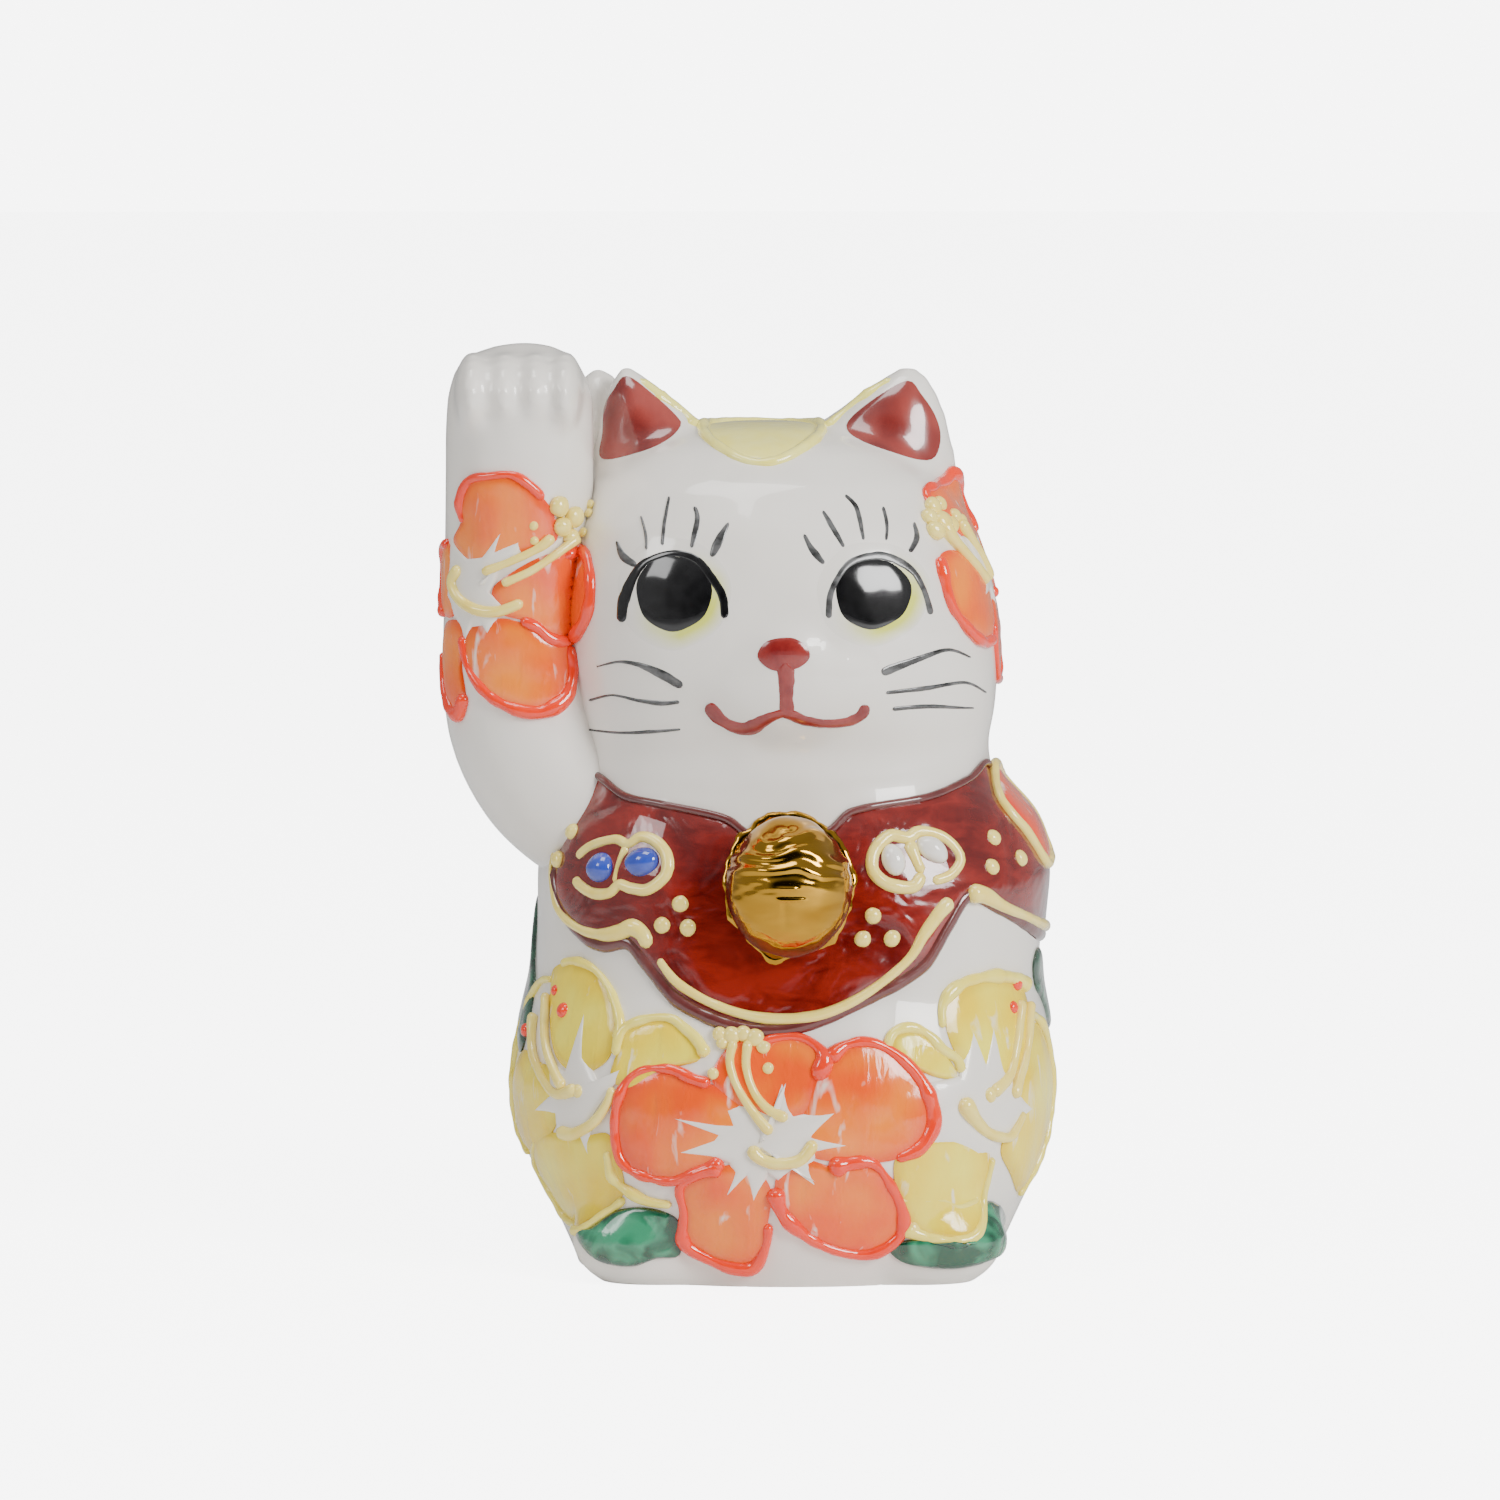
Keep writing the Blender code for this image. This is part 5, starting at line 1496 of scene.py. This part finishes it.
for flower, (azimuth, paths) in STAMENS.items():
    for i, path in enumerate(paths):
        places = front_places(path, azimuth, 0.3, 0.3)
        line = piped(f"{flower}_stamen_{i + 1}", places, STAMEN_WIDTHS[flower], 0.75, STAMEN_TAPER)
        fired(line, CREAM, "cream_enamel", *(STANDS_FOR.get(flower, []) if i == 0 else []))
for flower, (azimuth, path, widths) in CURLS.items():
    curl = piped(flower + "_curl", front_places(path, azimuth, 0.3, 0.3), 1.3, 0.8, widths)
    fired(curl, CREAM, "cream_enamel", *(["front_arc"] if flower == "front" else []))
for group, material in ((CREAM_TIPS, CREAM), (ORANGE_TIPS, RIM_RED)):
    for flower, (azimuth, spots) in group.items():
        for i, (across, height, radius) in enumerate(spots):
            name = f"{flower}_{'cream' if material is CREAM else 'orange'}_tip_{i + 1}"
            fired(tip(name, azimuth, across, height, radius), material, "cream_enamel")

# ---- Leaves ------------------------------------------------------------------------------------------
# Dark glossy green leaves at the feet and low on the sides, pooled nearly black along their edges.
LEAVES = {
    "foot_left": (
        -25,
        [
            (-12.8, 5.6), (-11.5, 4.1), (-9.2, 2.7), (-5.7, 2.3), (-3.1, 3.2), (-0.9, 3.6), (-0.5, 6.9),
            (-1.9, 8.2), (-5.1, 8.6), (-8.1, 7.8), (-10.4, 6.0),
        ],
    ),
    "foot_right": (
        30,
        [
            (-2.2, 4.6), (0.1, 5.2), (2.7, 4.8), (4.0, 4.5), (6.7, 5.8), (8.1, 7.6), (9.8, 8.6),
            (13.0, 7.2), (14.8, 5.0), (12.6, 3.2), (8.5, 2.5), (5.0, 2.0), (1.7, 2.2), (-0.8, 2.9),
        ],
    ),
    "side_left": (
        -94,
        [
            (-6.4, 38.0), (-4.0, 39.4), (0.0, 37.0), (3.4, 33.0), (7.0, 30.4), (9.4, 26.2), (9.0, 23.2),
            (5.2, 24.6), (1.6, 28.0), (-2.4, 30.0), (-5.4, 33.6),
        ],
    ),
    "side_right": (
        94,
        [
            (-8.8, 33.0), (-6.6, 34.4), (-3.4, 32.6), (0.4, 31.2), (3.6, 28.4), (4.2, 25.2),
            (1.0, 24.6), (-2.6, 26.4), (-5.8, 28.6), (-8.2, 30.2),
        ],
    ),
}


def leaf_paint():
    """Bottle-green enamel with paler, milky pools and a nearly black edge."""
    paint = Paint("green_enamel", 0.12, coat=1.0)
    inward, outward = paint.rim_and_foot()
    pool = paint.cloud(paint.place(), 260, 2.0, 0.8)
    share = paint.node("ShaderNodeMapRange", {}, {"Value": pool, "From Min": 0.42, "From Max": 0.6})
    base = paint.mix(share, tint(10, 74, 50), tint(58, 148, 108))
    paint.colour(paint.mix((1 - inward * 4.0).held() * 0.8, base, tint(6, 46, 30)))
    paint.bump(pool, 0.0006)
    return paint.material


GREEN = leaf_paint()
for label, (azimuth, path) in LEAVES.items():
    leaf = film("leaf_" + label + "_film", flowing(path, 0.5, closed=True), azimuth, 0.55)
    fired(leaf, GREEN, "green_enamel", "leaf_" + label)

# ---- Floor, light and camera -------------------------------------------------------------------------
# A plain near-white floor in a pale room, with one large soft lamp on the right, a weak one on the left
# and one overhead. Floor and room are lit brighter for the eye than for the cat, whose enamels would
# otherwise wash out, and the room is darker in front, where the gold and the eyes mirror it.
FLOOR_RADIUS, FLOOR_GLOW = 8.0, 6.0
ROOM_SEEN, ROOM_LIGHT, ROOM_FRONT = 7.0, 0.42, 0.01  # brightness to the eye, round the cat and in front
CAMERA_AIM, CAMERA_AWAY, CAMERA_RISE = (-0.00402, 0, 0.0554), 0.8, 5  # metres, metres, degrees
floor_paint = Paint("floor_white", 0.7)
floor_paint.shader.inputs["Base Color"].default_value = tint(250, 250, 250)
seen = floor_paint.node("ShaderNodeLightPath", {}, {})
glow = floor_paint.node("ShaderNodeEmission", {}, {"Color": (1, 1, 1, 1), "Strength": FLOOR_GLOW})
both = floor_paint.tree.nodes.new("ShaderNodeAddShader")
choice = floor_paint.tree.nodes.new("ShaderNodeMixShader")
floor_paint.tree.links.new(floor_paint.shader.outputs[0], both.inputs[0])
floor_paint.tree.links.new(glow.socket, both.inputs[1])
floor_paint.tree.links.new(seen.socket, choice.inputs[0])
floor_paint.tree.links.new(floor_paint.shader.outputs[0], choice.inputs[1])
floor_paint.tree.links.new(both.outputs[0], choice.inputs[2])
floor_paint.tree.links.new(choice.outputs[0], floor_paint.tree.nodes["Material Output"].inputs["Surface"])
bpy.ops.object.select_all(action="DESELECT")
bpy.ops.mesh.primitive_circle_add(vertices=96, radius=FLOOR_RADIUS, fill_type="NGON")
floor = bpy.context.object
floor.name = "floor"
wear(floor, floor_paint.material)
LAMPS = {  # place, size and strength
    "lamp_left": ((-0.55, -0.40, 0.42), 0.22, 1.2),
    "lamp_right": ((0.50, -0.48, 0.36), 0.28, 6.0),
    "lamp_top": ((-0.10, -0.15, 0.75), 0.32, 2.4),
}
for name, (place, size, strength) in LAMPS.items():
    data = bpy.data.lights.new(name, "AREA")
    data.size = size
    data.energy = strength
    lamp = bpy.data.objects.new(name, data)
    lamp.location = place
    lamp.rotation_euler = (Vector(place) - Vector((0, 0, 0.05))).to_track_quat("Z", "Y").to_euler()
    bpy.context.scene.collection.objects.link(lamp)
world = bpy.data.worlds.new("white_room")
world.use_nodes = True
sky = world.node_tree.nodes["Background"]
ray = world.node_tree.nodes.new("ShaderNodeTexCoord")
front = world.node_tree.nodes.new("ShaderNodeVectorMath")
front.operation = "DOT_PRODUCT"
front.inputs[1].default_value = (0, -1, 0)
shade = world.node_tree.nodes.new("ShaderNodeValToRGB")
shade.color_ramp.elements[0].position = 0.62
shade.color_ramp.elements[0].color = (ROOM_LIGHT, ROOM_LIGHT, ROOM_LIGHT, 1)
shade.color_ramp.elements[1].position = 0.86
shade.color_ramp.elements[1].color = (ROOM_FRONT, ROOM_FRONT, ROOM_FRONT, 1)
path = world.node_tree.nodes.new("ShaderNodeLightPath")
look = world.node_tree.nodes.new("ShaderNodeMix")
look.data_type = "RGBA"
look.inputs[7].default_value = (ROOM_SEEN, ROOM_SEEN, ROOM_SEEN, 1)
world.node_tree.links.new(ray.outputs["Generated"], front.inputs[0])
world.node_tree.links.new(front.outputs["Value"], shade.inputs["Fac"])
world.node_tree.links.new(path.outputs["Is Camera Ray"], look.inputs[0])
world.node_tree.links.new(shade.outputs["Color"], look.inputs[6])
world.node_tree.links.new(look.outputs[2], sky.inputs["Color"])
bpy.context.scene.world = world
view = bpy.data.cameras.new("camera")
view.sensor_width = 36
view.lens = 176.7
camera = bpy.data.objects.new("camera", view)
raised = math.radians(CAMERA_RISE)
away = Vector((0, -math.cos(raised), math.sin(raised))) * CAMERA_AWAY
camera.location = Vector(CAMERA_AIM) + away
camera.rotation_euler = (math.pi / 2 - raised, 0, 0)
bpy.context.scene.collection.objects.link(camera)
bpy.context.scene.camera = camera
